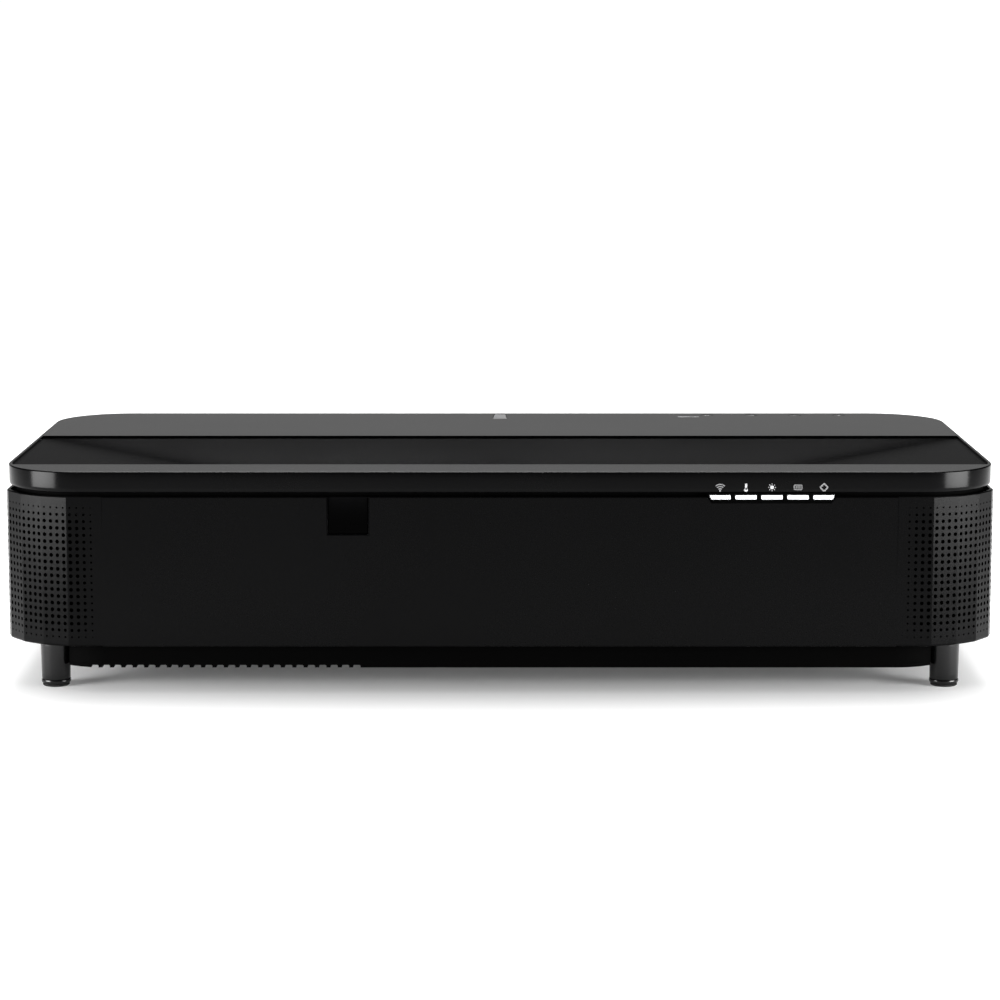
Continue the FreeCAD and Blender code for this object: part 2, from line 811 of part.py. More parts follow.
def concave_mirror():
    # Slice of a spherical shell that faces the lens and the window above.
    outer_radius = 130.0
    centre = vec(0, mirror_y + outer_radius, 118)
    shell = Part.makeSphere(outer_radius, centre).cut(Part.makeSphere(outer_radius - 4, centre))
    return shell.common(block(-74, 74, mirror_y - 2, mirror_y + 30, 66, 132))


def mirror_bracket():
    plate = block(-84, 84, mirror_y - 9, mirror_y - 5, 40, 132)
    foot = block(-84, 84, mirror_y - 9, mirror_y + 28, 38, 42)
    arms = [block(x, x + 6, mirror_y - 6, mirror_y + 24, 41, 134) for x in (-84, 78)]
    return plate.fuse(foot).multiFuse(arms)


# Speakers

def speaker_boxes():
    right = block(170, 284, -158, -108, 48, 124)
    right = right.cut(block(173, 281, -155, -111, 51, 121))
    right = right.cut(rod(21.5, 5, vec(280, -133, 86), along_x))
    return group([right, mirrored_x(right)])


def speaker_drivers():
    profile = [(0, -16), (14, -16), (14, -6), (21, 0), (25, 0), (25, 2.4), (22, 2.4), (19, 1.2), (8, -6), (5, -3),
               (0, -2)]
    right = revolved(profile, vec(284, -133, 86), along_x)
    return group([right, mirrored_x(right)])


# Feet and inserts

def foot_leg(x, y):
    # Tapered sleeve with a rounded lower ring, a threaded stud above and a bore for the pad's post.
    top = case_bottom_z - 0.4
    profile = [(0, 5.4), (6.05, 5.4), (6.05, 2.0), (9.4, 2.0), (10.2, 2.5), (10.4, 3.4), (10.3, 4.6), (9.9, 5.2),
               (10.0, 6.0), (foot_radius, top - 0.8), (foot_radius - 0.8, top), (stud_radius, top),
               (stud_radius, 58.0), (stud_radius - 1, 59.0), (0, 59.0)]
    return revolved(profile, vec(x, y, 0), up)


def foot_pad(x, y):
    profile = [(0, 0), (8.8, 0), (9.4, 0.5), (9.4, 1.6), (6.0, 1.6), (6.0, 5.0), (0, 5.0)]
    return revolved(profile, vec(x, y, 0), up)


def threaded_inserts():
    inserts = []
    for x in (-foot_x, foot_x):
        for y in (-foot_y, foot_y):
            inserts.append(tube(7.5, stud_radius + running_gap, 24, vec(x, y, case_bottom_z + 2.9), up))
    for x in (-mount_x, mount_x):
        for y in (-mount_y, mount_y):
            inserts.append(tube(mount_insert_radius, mount_hole_radius, 12, vec(x, y, pan_bottom_z), up))
    return group(inserts)


def base_screws():
    # Cross-head screws that hold the pan to the case.
    screws = []
    for x in (-290.0, -60.0, 60.0, 290.0):
        for y in (-60.0, 60.0):
            head = rod(3.2, 1.6, vec(x, y, pan_bottom_z - 1.6), up)
            slots = block(x - 2, x + 2, y - 0.4, y + 0.4, pan_bottom_z - 2, pan_bottom_z - 0.7)
            head = head.cut(slots).cut(slots.rotated(vec(x, y, 0), up, 90))
            screws.append(head)
    return group(screws)


def build():
    os.makedirs("parts", exist_ok=True)
    save("top_cover", top_cover())
    save("valley_insert", valley_insert())
    save("projection_window", projection_window())
    save("seam_band", seam_band())
    save("sensor_window", sensor_window())
    save("front_panel", front_panel())
    save("corner_grilles", corner_grilles())
    save("left_side_panel", left_side_panel())
    save("right_side_panel", right_side_panel())
    save("rear_panel", rear_panel())
    save("case_bottom", case_bottom())
    save("base_pan", base_pan())
    save("receiver_window", receiver_window())
    save("status_light_tray", status_light_tray())
    save("status_lenses", status_lenses())
    for name, x in zip(("power", "source", "volume_down", "volume_up"), button_xs):
        save(name + "_button", button(x))
    save("button_board", button_board())
    save("filter_door", filter_door())
    save("filter_latch", filter_latch())
    save("air_filter", air_filter())
    save("cable_cover", cable_cover())
    save("terminal_bay", terminal_bay())
    save("hdmi_sockets", hdmi_sockets())
    save("usb_sockets", usb_sockets())
    save("audio_jacks", audio_jacks())
    save("mains_inlet", mains_inlet())
    save("main_board", main_board())
    save("power_board", power_board())
    save("fan_frames", group([fan_frame(exhaust_x0, y) for y in exhaust_ys] + [fan_frame(intake_x0, 0)]))
    save("front_exhaust_impeller", impeller(exhaust_x0, exhaust_ys[0]))
    save("rear_exhaust_impeller", impeller(exhaust_x0, exhaust_ys[1]))
    save("intake_impeller", impeller(intake_x0, 0))
    save("heat_sink", heat_sink())
    save("heat_pipes", heat_pipes())
    save("laser_module", laser_module())
    save("wheel_housing", wheel_housing())
    save("phosphor_wheel", phosphor_wheel())
    save("optical_block", optical_block())
    save("lens_barrel", lens_barrel())
    save("front_lens", front_lens())
    save("focus_ring", focus_ring())
    save("focus_pinion", focus_pinion())
    save("focus_motor", focus_motor())
    save("concave_mirror", concave_mirror())
    save("mirror_bracket", mirror_bracket())
    save("speaker_boxes", speaker_boxes())
    save("speaker_drivers", speaker_drivers())
    for side, x in (("left", -foot_x), ("right", foot_x)):
        for end, y in (("front", -foot_y), ("rear", foot_y)):
            save(end + "_" + side + "_foot_leg", foot_leg(x, y))
            save(end + "_" + side + "_foot_pad", foot_pad(x, y))
    save("threaded_inserts", threaded_inserts())
    save("base_screws", base_screws())


build()
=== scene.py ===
import json
import math

import bmesh
import bpy
import numpy as np
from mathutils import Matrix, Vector
from mathutils.geometry import tessellate_polygon

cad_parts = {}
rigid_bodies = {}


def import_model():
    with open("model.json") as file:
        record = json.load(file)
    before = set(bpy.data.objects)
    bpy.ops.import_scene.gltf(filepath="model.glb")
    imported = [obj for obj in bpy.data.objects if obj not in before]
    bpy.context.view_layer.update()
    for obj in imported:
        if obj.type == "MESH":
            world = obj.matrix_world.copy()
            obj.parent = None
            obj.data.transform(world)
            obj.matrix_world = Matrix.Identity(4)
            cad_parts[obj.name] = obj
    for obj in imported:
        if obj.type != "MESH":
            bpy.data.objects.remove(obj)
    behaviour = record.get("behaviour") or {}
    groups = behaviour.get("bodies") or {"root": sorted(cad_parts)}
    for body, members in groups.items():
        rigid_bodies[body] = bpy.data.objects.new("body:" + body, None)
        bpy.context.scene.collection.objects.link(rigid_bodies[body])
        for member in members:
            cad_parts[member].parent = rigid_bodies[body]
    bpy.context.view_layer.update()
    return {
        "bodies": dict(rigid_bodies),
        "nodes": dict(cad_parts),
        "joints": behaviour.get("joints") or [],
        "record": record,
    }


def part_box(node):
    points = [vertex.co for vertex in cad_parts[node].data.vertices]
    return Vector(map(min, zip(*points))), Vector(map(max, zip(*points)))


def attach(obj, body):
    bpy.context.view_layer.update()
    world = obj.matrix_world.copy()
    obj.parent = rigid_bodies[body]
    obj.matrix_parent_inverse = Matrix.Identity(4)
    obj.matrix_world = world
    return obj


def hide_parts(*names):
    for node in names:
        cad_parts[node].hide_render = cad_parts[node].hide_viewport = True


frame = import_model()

nodes = frame["nodes"]
mm = 0.001
print("frame loaded:", len(nodes), "nodes")


def nodeBox(node):
    # lowest and highest corner of a CAD node, in millimetres
    low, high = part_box(node)
    return np.array(low) / mm, np.array(high) / mm


# small mesh workshop, all in millimetres until makePiece

def gridQuads(points):
    # points is an (n, m, 3) sheet; every cell between four neighbours becomes one quad
    return np.stack([points[:-1, :-1], points[1:, :-1], points[1:, 1:], points[:-1, 1:]],
                    axis=2).reshape(-1, 4, 3)


def ringQuads(points):
    # the same sheet, closed on itself along its second direction
    return gridQuads(np.concatenate([points, points[:, :1]], axis=1))


def revolve(profile, centre, axis=2, steps=48):
    # each (radius, height) pair of the profile is carried round the axis: x = r cos t, y = r sin t
    t = np.linspace(0, 2 * math.pi, steps, endpoint=False)
    r, h = np.array(profile, float).T
    i, j = [(1, 2), (2, 0), (0, 1)][axis]
    points = np.zeros((len(r), steps, 3))
    points[..., i] = r[:, None] * np.cos(t)
    points[..., j] = r[:, None] * np.sin(t)
    points[..., axis] = h[:, None]
    return ringQuads(points + np.array(centre, float))


def slabQuads(us, vs, keep, place):
    # A plate on the lines us x vs. keep says which cells are solid; place(u, v, side) gives the point on
    # the front (side 0) or the back (side 1). A wall closes every border between solid and empty.
    u, v = np.meshgrid(us, vs, indexing="ij")
    front = place(u, v, 0)
    back = place(u, v, 1)
    keep = np.asarray(keep, bool)
    quads = [gridQuads(front).reshape(*keep.shape, 4, 3)[keep],
             gridQuads(back).reshape(*keep.shape, 4, 3)[keep]]
    padded = np.pad(keep, 1)
    acrossU = padded[1:, 1:-1] != padded[:-1, 1:-1]
    i, j = np.nonzero(acrossU)
    quads.append(np.stack([front[i, j], front[i, j + 1], back[i, j + 1], back[i, j]], axis=1))
    acrossV = padded[1:-1, 1:] != padded[1:-1, :-1]
    i, j = np.nonzero(acrossV)
    quads.append(np.stack([front[i, j], front[i + 1, j], back[i + 1, j], back[i, j]], axis=1))
    return np.concatenate(quads)


def insetOutline(outline, inset):
    # moves every point of an anticlockwise outline inwards along the mean normal of its two edges
    edge = np.roll(outline, -1, axis=0) - outline
    normal = np.stack([-edge[:, 1], edge[:, 0]], axis=1) / np.linalg.norm(edge, axis=1)[:, None]
    mean = normal + np.roll(normal, 1, axis=0)
    return outline + inset * 2 * mean / (mean * mean).sum(axis=1)[:, None]


def roundedPolygon(corners, radius, steps=5):
    # an anticlockwise polygon whose corners become arcs
    out = []
    corners = np.array(corners, float)
    for before, corner, after in zip(np.roll(corners, 1, axis=0), corners, np.roll(corners, -1, axis=0)):
        a, b = before - corner, after - corner
        a, b = a / np.linalg.norm(a), b / np.linalg.norm(b)
        half = math.acos(float(np.clip(a @ b, -1, 1))) / 2
        middle = corner + (a + b) / np.linalg.norm(a + b) * radius / math.sin(half)
        first = corner + a * radius / math.tan(half) - middle
        last = corner + b * radius / math.tan(half) - middle
        start = math.atan2(first[1], first[0])
        sweep = (math.atan2(last[1], last[0]) - start + math.pi) % (2 * math.pi) - math.pi
        t = start + sweep * np.linspace(0, 1, steps + 1)
        out.append(middle + radius * np.stack([np.cos(t), np.sin(t)], axis=1))
    return np.concatenate(out)


def stacked(outline, section, place):
    # The outline is repeated at each (inset, depth) of the section, and flat ends close the stack.
    loops = []
    for inset, depth in section:
        u, v = insetOutline(outline, inset).T
        loops.append(place(u, v, np.full(u.shape, depth)))
    loops = np.array(loops)
    return ringQuads(loops), [loops[0], loops[-1]]


def rectangle(x0, x1, y0, y1):
    return [(x0, y0), (x1, y0), (x1, y1), (x0, y1)]


def arcPath(radius, start, end, steps=20, centre=(0, 0)):
    t = np.radians(np.linspace(start, end, steps))
    return np.stack([centre[0] + radius * np.cos(t), centre[1] + radius * np.sin(t)], axis=1)


def inkStroke(path, width, place, thickness=0.04):
    # a thin ribbon that follows a path drawn on a flat face; place(u, v, depth) puts it on the face
    path = np.array(path, float)
    along = np.gradient(path, axis=0)
    side = np.stack([-along[:, 1], along[:, 0]], axis=1) / np.linalg.norm(along, axis=1)[:, None]
    lines = np.array([-0.5, 0.5]) * width

    def onFace(u, v, back):
        at = u.astype(int)
        flat = path[at] + side[at] * v[..., None]
        return place(flat[..., 0], flat[..., 1], np.full(u.shape, back * thickness))

    return slabQuads(np.arange(len(path)), lines, np.ones((len(path) - 1, 1)), onFace)


def inkDisc(centre, radius, place):
    return inkStroke(arcPath(radius / 2, 0, 360, 25, centre), radius * 0.98, place)


def makePiece(name, body, quads, polygons=(), smoothUnder=35):
    # quads is a list of (k, 4, 3) arrays; equal corners are merged and the faces are turned outwards
    corners = np.concatenate([np.asarray(q, float).reshape(-1, 4,
                                                           3) for q in quads]) if quads else np.zeros((0, 4,
                                                                                                       3))
    verts = [corners.reshape(-1, 3)]
    faces = np.arange(len(corners) * 4).reshape(-1, 4).tolist()
    start = len(corners) * 4
    for polygon in polygons:
        verts.append(np.asarray(polygon, float))
        faces.append(list(range(start, start + len(polygon))))
        start += len(polygon)
    mesh = bpy.data.meshes.new(name)
    mesh.from_pydata((np.concatenate(verts) * mm).tolist(), [], faces)
    work = bmesh.new()
    work.from_mesh(mesh)
    bmesh.ops.remove_doubles(work, verts=work.verts, dist=2e-6)
    bmesh.ops.dissolve_degenerate(work, edges=work.edges, dist=1e-6)
    bmesh.ops.recalc_face_normals(work, faces=work.faces)
    work.to_mesh(mesh)
    work.free()
    mesh.polygons.foreach_set("use_smooth", np.ones(len(mesh.polygons), bool))
    mesh.set_sharp_from_angle(angle=math.radians(smoothUnder))
    piece = bpy.data.objects.new(name, mesh)
    bpy.context.scene.collection.objects.link(piece)
    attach(piece, body)
    return piece


# shader maths

class Paint:
    # one socket, so that colour masks are written as sums and products

    def __init__(self, tree, socket):
        self.tree = tree
        self.socket = socket

    def math(self, operation, other=0.0, swap=False):
        a, b = (other, self) if swap else (self, other)
        return addNode(self.tree, "ShaderNodeMath", {"operation": operation}, {0: a, 1: b})

    def __add__(self, other):
        return self.math("ADD", other)

    __radd__ = __add__

    def __mul__(self, other):
        return self.math("MULTIPLY", other)

    __rmul__ = __mul__

    def __sub__(self, other):
        return self.math("SUBTRACT", other)

    def __rsub__(self, other):
        return self.math("SUBTRACT", other, swap=True)


def addNode(tree, kind, settings=None, inputs=None, output=0):
    # one node: its settings first, then values or links for its sockets; returns the chosen output
    node = tree.nodes.new(kind)
    for key, value in (settings or {}).items():
        if key == "stops":
            ramp = node.color_ramp
            for index, (place, colour) in enumerate(value):
                stop = ramp.elements[index] if index < 2 else ramp.elements.new(place)
                stop.position = place
                stop.color = (*colour, 1) if len(colour) == 3 else colour
        else:
            setattr(node, key, value)
    for key, value in (inputs or {}).items():
        if isinstance(value, Paint):
            tree.links.new(value.socket, node.inputs[key])
        else:
            node.inputs[key].default_value = value
    return Paint(tree, node.outputs[output])


def rgba(colour):
    return (*colour, 1.0)


class Finish:
    # a material with its Principled shader, object coordinates and a few common patterns

    def __init__(self, name, **constants):
        self.material = bpy.data.materials.new(name)
        self.material.use_nodes = True
        self.tree = self.material.node_tree
        self.shader = self.tree.nodes["Principled BSDF"]
        for key, value in constants.items():
            self.shader.inputs[key.replace("_", " ")].default_value = value
        self.place = addNode(self.tree, "ShaderNodeTexCoord", output="Object")

    def noise(self, scale, detail=3.0, rough=0.5, place=None):
        return addNode(self.tree, "ShaderNodeTexNoise", {}, {"Vector": place or self.place, "Scale": scale,
                                                             "Detail": detail, "Roughness": rough})

    def stretched(self, x, y, z):
        return addNode(self.tree, "ShaderNodeMapping", {}, {"Vector": self.place, "Scale": (x, y, z)})

    def axis(self, name):
        return addNode(self.tree, "ShaderNodeSeparateXYZ", {}, {"Vector": self.place}, output=name)

    def spread(self, value, low, high, start=0.3, end=0.7):
        return addNode(self.tree, "ShaderNodeMapRange", {},
                       {"Value": value, "From Min": start, "From Max": end,
                                                             "To Min": low, "To Max": high})

    def blend(self, mask, first, second):
        mix = self.tree.nodes.new("ShaderNodeMix")
        mix.data_type = "RGBA"
        self.tree.links.new(mask.socket, mix.inputs[0])
        for index, colour in ((6, first), (7, second)):
            if isinstance(colour, Paint):
                self.tree.links.new(colour.socket, mix.inputs[index])
            else:
                mix.inputs[index].default_value = rgba(colour)
        return Paint(self.tree, mix.outputs[2])

    def feed(self, name, value):
        self.tree.links.new(value.socket, self.shader.inputs[name])

    def bump(self, height, strength, distance=0.0002):
        self.feed("Normal", addNode(self.tree, "ShaderNodeBump", {}, {"Height": height, "Strength": strength,
                                                                      "Distance": distance}))


finishes = {}


def mouldedPlastic(name, colour, roughness, grain=2600, grainStrength=0.25, shine=0.5, variation=0.25):
    # Fine spark-eroded grain, a slow drift of tone and gloss, and a little dust that dulls some areas.
    f = Finish(name, Specular_IOR_Level=shine)
    slow = f.noise(9, 2)
    fine = f.noise(grain, 2, 0.6)
    speck = f.noise(420, 4, 0.7)
    darker = tuple(c * (1 - variation) for c in colour)
    lighter = tuple(c * (1 + variation) for c in colour)
    f.feed("Base Color", f.blend(f.spread(slow * 0.6 + speck * 0.4, 0, 1), darker, lighter))
    f.feed("Roughness", f.spread(slow * 0.5 + speck * 0.5, roughness * 0.9, roughness * 1.12))
    f.bump(fine, grainStrength)
    finishes[name] = f.material
    return f


def metalFinish(name, colour, roughness, stretch=(60, 60, 60), grain=40, strength=0.1):
    f = Finish(name, Metallic=1.0)
    streak = f.noise(grain, 4, 0.6, f.stretched(*stretch))
    slow = f.noise(25, 2)
    f.feed("Base Color", f.blend(f.spread(slow, 0, 1), tuple(c * 0.86 for c in colour), colour))
    f.feed("Roughness", f.spread(streak, roughness * 0.75, roughness * 1.3))
    f.bump(streak, strength, 0.0001)
    finishes[name] = f.material
    return f


print("finishes")
mouldedPlastic("satinCover", (0.0016, 0.0016, 0.0017), 0.16, 3000, 0.04, 0.07)
mouldedPlastic("valleySatin", (0.0022, 0.0022, 0.0024), 0.2, 2600, 0.05, 0.0024)
mouldedPlastic("caseMoulding", (0.0014, 0.0014, 0.0015), 0.22, 2400, 0.08, 0.055)
mouldedPlastic("baseMatt", (0.0008, 0.0008, 0.0008), 0.8, 1500, 0.2, 0.02)
mouldedPlastic("glossMoulding", (0.003, 0.003, 0.0032), 0.22, 900, 0.03, 0.3)
mouldedPlastic("mattTrim", (0.010, 0.010, 0.0105), 0.55, 1500, 0.25, 0.3)
mouldedPlastic("paleWindow", (0.15, 0.15, 0.155), 0.3, 1500, 0.05, 0.3)
mouldedPlastic("filterPaper", (0.62, 0.60, 0.55), 0.9, 700, 0.6, 0.1)
mouldedPlastic("coneBlack", (0.02, 0.019, 0.018), 0.85, 900, 0.6, 0.1)
mouldedPlastic("phosphorCoat", (0.78, 0.62, 0.06), 0.75, 1200, 0.4, 0.1)
mouldedPlastic("fanMoulding", (0.02, 0.02, 0.021), 0.5, 1800, 0.25, 0.4)
mouldedPlastic("padRubber", (0.012, 0.012, 0.012), 0.8, 1400, 0.5, 0.2)
metalFinish("brushedSteel", (0.56, 0.56, 0.57), 0.3, (20, 400, 20))
metalFinish("castAlloy", (0.58, 0.59, 0.6), 0.48, (1, 1, 1), 900, 0.35)
metalFinish("finAlloy", (0.74, 0.75, 0.76), 0.33, (5, 200, 200))
metalFinish("turnedBrass", (0.72, 0.53, 0.24), 0.28, (300, 20, 300))
metalFinish("drawnCopper", (0.78, 0.38, 0.24), 0.25, (10, 300, 300))
metalFinish("mirrorSilver", (0.92, 0.93, 0.94), 0.03, (1, 1, 1), 30, 0.01)


def lightFinish():
    # milky diffuser, a touch brighter in the middle of each bar
    f = Finish("lightDiffuser", Roughness=0.35, Emission_Strength=0.95)
    cloud = f.noise(300, 2)
    low, high = nodeBox("status_lenses")
    middle, half = (low[2] + high[2]) / 2 * mm, (high[2] - low[2]) / 2 * mm
    off = addNode(f.tree, "ShaderNodeMath", {"operation": "ABSOLUTE"}, {0: f.axis("Z") - middle})
    edge = f.spread(off, 0, 1, half * 0.45, half * 0.95)
    f.feed("Base Color", f.blend(f.spread(cloud, 0, 1), (0.80, 0.82, 0.85), (0.92, 0.93, 0.95)))
    f.feed("Emission Color",
           f.blend(edge, f.blend(f.spread(cloud, 0, 1), (0.88, 0.90, 0.92), (0.97, 0.98, 1.0)),
                                     (0.10, 0.10, 0.105)))
    finishes["lightDiffuser"] = f.material


def printFinish(name, colour):
    # screen-printed ink with slightly uneven cover
    f = Finish(name, Roughness=0.6, Specular_IOR_Level=0.3)
    cloud = f.noise(2500, 2)
    f.feed("Base Color", f.blend(f.spread(cloud, 0, 1), tuple(c * 0.85 for c in colour), colour))
    finishes[name] = f.material


def receiverFinish():
    # Dark infra-red acrylic: deep gloss, a hair of colour, and a painted highlight: the base colour is
    # lighter towards its top, standing in for light let in at the edge.
    f = Finish("receiverAcrylic", Specular_IOR_Level=0.012)
    low, high = nodeBox("receiver_window")
    rise = f.spread(f.axis("Z"), 0, 1, low[2] * mm, high[2] * mm)
    # painted highlight: the base colour rises steeply towards the top of the pane
    paintedTopHighlight = rise * rise * rise
    f.feed("Base Color", f.blend(paintedTopHighlight, (0.0003, 0.0003, 0.0003), (0.0022, 0.0022, 0.0024)))
    f.feed("Roughness", f.spread(f.noise(700, 3), 0.08, 0.14))
    finishes["receiverAcrylic"] = f.material


def glassFinish(name, tint, alpha, roughness):
    f = Finish(name, Roughness=roughness, IOR=1.5, Coat_Weight=0.0)
    film = f.noise(14, 3)
    f.feed("Base Color", f.blend(f.spread(film, 0, 1), tint, tuple(min(1, c * 1.4 + 0.004) for c in tint)))
    f.feed("Roughness", f.spread(f.noise(120, 3), roughness * 0.8, roughness * 1.4))
    f.feed("Alpha", f.spread(film, alpha * 0.97, min(1, alpha * 1.03)))
    finishes[name] = f.material


def boardFinish():
    # green solder mask over copper runs that follow a brick pattern, with a dulled fibre weave
    f = Finish("boardGreen", Specular_IOR_Level=0.5)
    runs = addNode(f.tree, "ShaderNodeTexBrick", {"offset": 0.37, "squash": 0.6, "squash_frequency": 3},
                   {"Vector": f.place, "Color1": rgba((0, 0, 0)), "Color2": rgba((0, 0, 0)),
                    "Mortar": rgba((1, 1, 1)),
                    "Scale": 160.0, "Mortar Size": 0.035, "Mortar Smooth": 0.1}, output="Color")
    weave = f.noise(1500, 2)
    lacquer = f.blend(f.spread(weave, 0, 1), (0.006, 0.045, 0.018), (0.010, 0.062, 0.026))
    f.feed("Base Color", f.blend(runs, lacquer, (0.03, 0.16, 0.06)))
    f.feed("Roughness", f.spread(weave, 0.28, 0.45))
    f.bump(runs, 0.25)
    finishes["boardGreen"] = f.material


boardFinish()
lightFinish()
printFinish("paleInk", (0.62, 0.62, 0.63))
printFinish("greyInk", (0.26, 0.26, 0.265))
receiverFinish()
glassFinish("windowGlass", (0.003, 0.003, 0.005), 0.95, 0.05)
glassFinish("lensGlass", (0.45, 0.5, 0.58), 0.35, 0.02)

# the case's outline, read from the frame

coverLow, coverHigh = nodeBox("top_cover")
caseLow, caseHigh = nodeBox("corner_grilles")
halfW, halfD = coverHigh[0], coverHigh[1]
topZ = coverHigh[2]


def roundedLoop(halfX, halfY, radius, ridgeY, rimTurn, arcSteps=24):
    # A rounded rectangle as corner centres and outward normals, so that any inset d is centre + (radius -
    # d) normal.
    # Runs anticlockwise from the ridge on the right side; rimTurn is how far into both front corners the
    # rim ends.
    # Returns the places of the left ridge, the left rim end and the right rim end as well.
    cx, cy = halfX - radius, halfY - radius
    quarters = []
    for start, sx, sy in ((0, 1, 1), (90, -1, 1), (180, -1, -1), (270, 1, -1)):
        angles = np.linspace(start, start + 90, arcSteps + 1)
        if start >= 180:
            angles = np.sort(np.append(angles, 180 + rimTurn if start == 180 else 360 - rimTurn))
        t = np.radians(angles)
        centre = np.tile([sx * cx, sy * cy], (len(t), 1))
        quarters.append((centre, np.stack([np.cos(t), np.sin(t)], axis=1)))
    rightRidge = (np.array([[cx, ridgeY]]), np.array([[1.0, 0.0]]))
    leftRidge = (np.array([[-cx, ridgeY]]), np.array([[-1.0, 0.0]]))
    parts = [rightRidge, quarters[0], quarters[1], leftRidge, quarters[2], quarters[3]]
    centres = np.concatenate([part[0] for part in parts])
    normals = np.concatenate([part[1] for part in parts])
    atLeftRidge = 1 + 2 * (arcSteps + 1)
    heading = np.degrees(np.arctan2(normals[:, 1], normals[:, 0])) % 360
    atLeftRim = int(np.argmin(np.abs(heading - 180 - rimTurn)))
    atRightRim = int(np.argmin(np.abs(heading - 360 + rimTurn)))
    return centres, normals, (atLeftRidge, atLeftRim, atRightRim)


def insetLoop(centres, normals, radius, inset, z):
    flat = centres + (radius - inset) * normals
    return np.column_stack([flat, np.full(len(flat), z)])


def cornerChain(size, inset):
    # Flat front, facets that each turn a little further, flat side; an inset moves each corner on its
    # bisector.
    turn = math.radians(size["facetTurn"])
    headings = turn * np.arange(5)
    steps = size["holesPerFacet"] * size["pitch"] * np.stack([np.cos(headings[1:4]), np.sin(headings[1:4])],
                                                             axis=1)
    corners = np.concatenate([[[size["flatHalf"], 0]], steps]).cumsum(axis=0)
    last = corners[-1]
    corners = np.vstack([corners, [halfW, last[1] + (halfW - last[0]) * math.tan(headings[4])]])
    angle = headings + turn / 2
    reach = inset / math.cos(turn / 2)
    return corners + reach * np.stack([-np.sin(angle), np.cos(angle)], axis=1)


# top cover

coverShape = {"radius": 55.0, "wall": 2.4, "round": 0.9, "curl": 3.2, "rimDepth": 39.0, "ridgeDepth": 198.0,
              "buttonGap": 0.4, "holeSteps": 32}


def coverShell():
    # The section (a curled lower lip, a straight wall and a rounded shoulder) is carried round the outline.
    # Both top plates close the inside of that loop, and the valley is left open between them.
    s = coverShape
    yRim, yRidge = -halfD + s["rimDepth"], -halfD + s["ridgeDepth"]
    rimTurn = math.degrees(math.asin((halfD - s["radius"] + yRim) * -1 / (s["radius"] - s["wall"])))
    centres, normals, (leftRidge, leftRim, rightRim) = roundedLoop(halfW, halfD, s["radius"], yRidge, rimTurn)
    z0, z1 = coverLow[2], topZ
    curl = [(s["curl"] * (1 - math.sin(a)) * 0.55, z0 + s["curl"] * (1 - math.cos(a)))
            for a in np.radians(np.linspace(0, 90, 8))]
    shoulder = [(s["round"] * (1 - math.cos(a)), z1 - s["round"] * (1 - math.sin(a)))
                for a in np.radians(np.linspace(0, 90, 6))]
    section = [(s["wall"], z1 - s["wall"]),
               (s["wall"], z0 + 0.5)] + curl + shoulder + [(s["round"] + 0.15, z1)]
    loops = np.array([insetLoop(centres, normals, s["radius"], d, z) for d, z in section])
    quads = [ringQuads(loops)]
    edge = insetLoop(centres, normals, s["radius"], s["wall"], z1)
    top, under = loops[-1], loops[0]
    rear = np.arange(0, leftRidge + 1)
    front = np.arange(leftRim, rightRim + 1)
    for strip in (np.arange(leftRidge, leftRim + 1), np.append(np.arange(rightRim, len(top)), 0)):
        quads += [gridQuads(np.array([top[strip], edge[strip], under[strip]]))]
    polygons = []
    for span in (rear, front):
        first, last = span[0], span[-1]
        quads.append(np.array([[edge[last], edge[first], under[first], under[last]]]))
    polygons.append(np.vstack([top[front], edge[front[-1]], edge[front[0]]]))
    polygons.append(under[front])
    holes = plateauHoles()
    outerTop = np.vstack([top[rear], edge[rear[-1]], edge[rear[0]]])
    polygons += plateWithHoles(outerTop, holes, z1)
    polygons += plateWithHoles(under[rear], holes, z1 - s["wall"])
    for hole in holes:
        rings = np.array([np.column_stack([hole, np.full(len(hole), z)]) for z in (z1, z1 - s["wall"])])
        quads.append(ringQuads(rings))
    piece = makePiece("coverShell", "projector", quads, polygons, 30)
    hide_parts("top_cover")
    piece.data.materials.append(finishes["satinCover"])


def plateauHoles():
    holes = []
    t = np.linspace(0, 2 * math.pi, coverShape["holeSteps"], endpoint=False)
    for name in buttonNames:
        low, high = nodeBox(name)
        middle = (low + high) / 2
        radius = (high[0] - low[0]) / 2 - 1.2 + coverShape["buttonGap"]
        holes.append(np.column_stack([middle[0] + radius * np.cos(t), middle[1] + radius * np.sin(t)]))
    low, high = nodeBox("sensor_window")
    front, rear = high[0] + 0.3, high[0] - 1.15
    holes.append(np.array([[-front, low[1] - 0.3], [front, low[1] - 0.3], [rear, high[1] + 0.3],
                           [-rear, high[1] + 0.3]]))
    return holes


def plateWithHoles(outer, holes, z):
    # fills the outline around its holes with triangles
    rings = [outer] + [np.column_stack([h, np.full(len(h), z)]) for h in holes]
    flat = np.concatenate(rings)
    flat[:, 2] = z
    triangles = tessellate_polygon([[tuple(p) for p in ring] for ring in rings])
    return [flat[list(t)] for t in triangles]


buttonNames = ("power_button", "source_button", "volume_down_button", "volume_up_button")
coverShell()

# valley tray

valleyShape = {"drop": 1.6, "wall": 2.0, "sideSlope": 0.0916, "rearSlope": 0.144, "blend": 1.1,
               "columns": 150,
               "rows": 46}


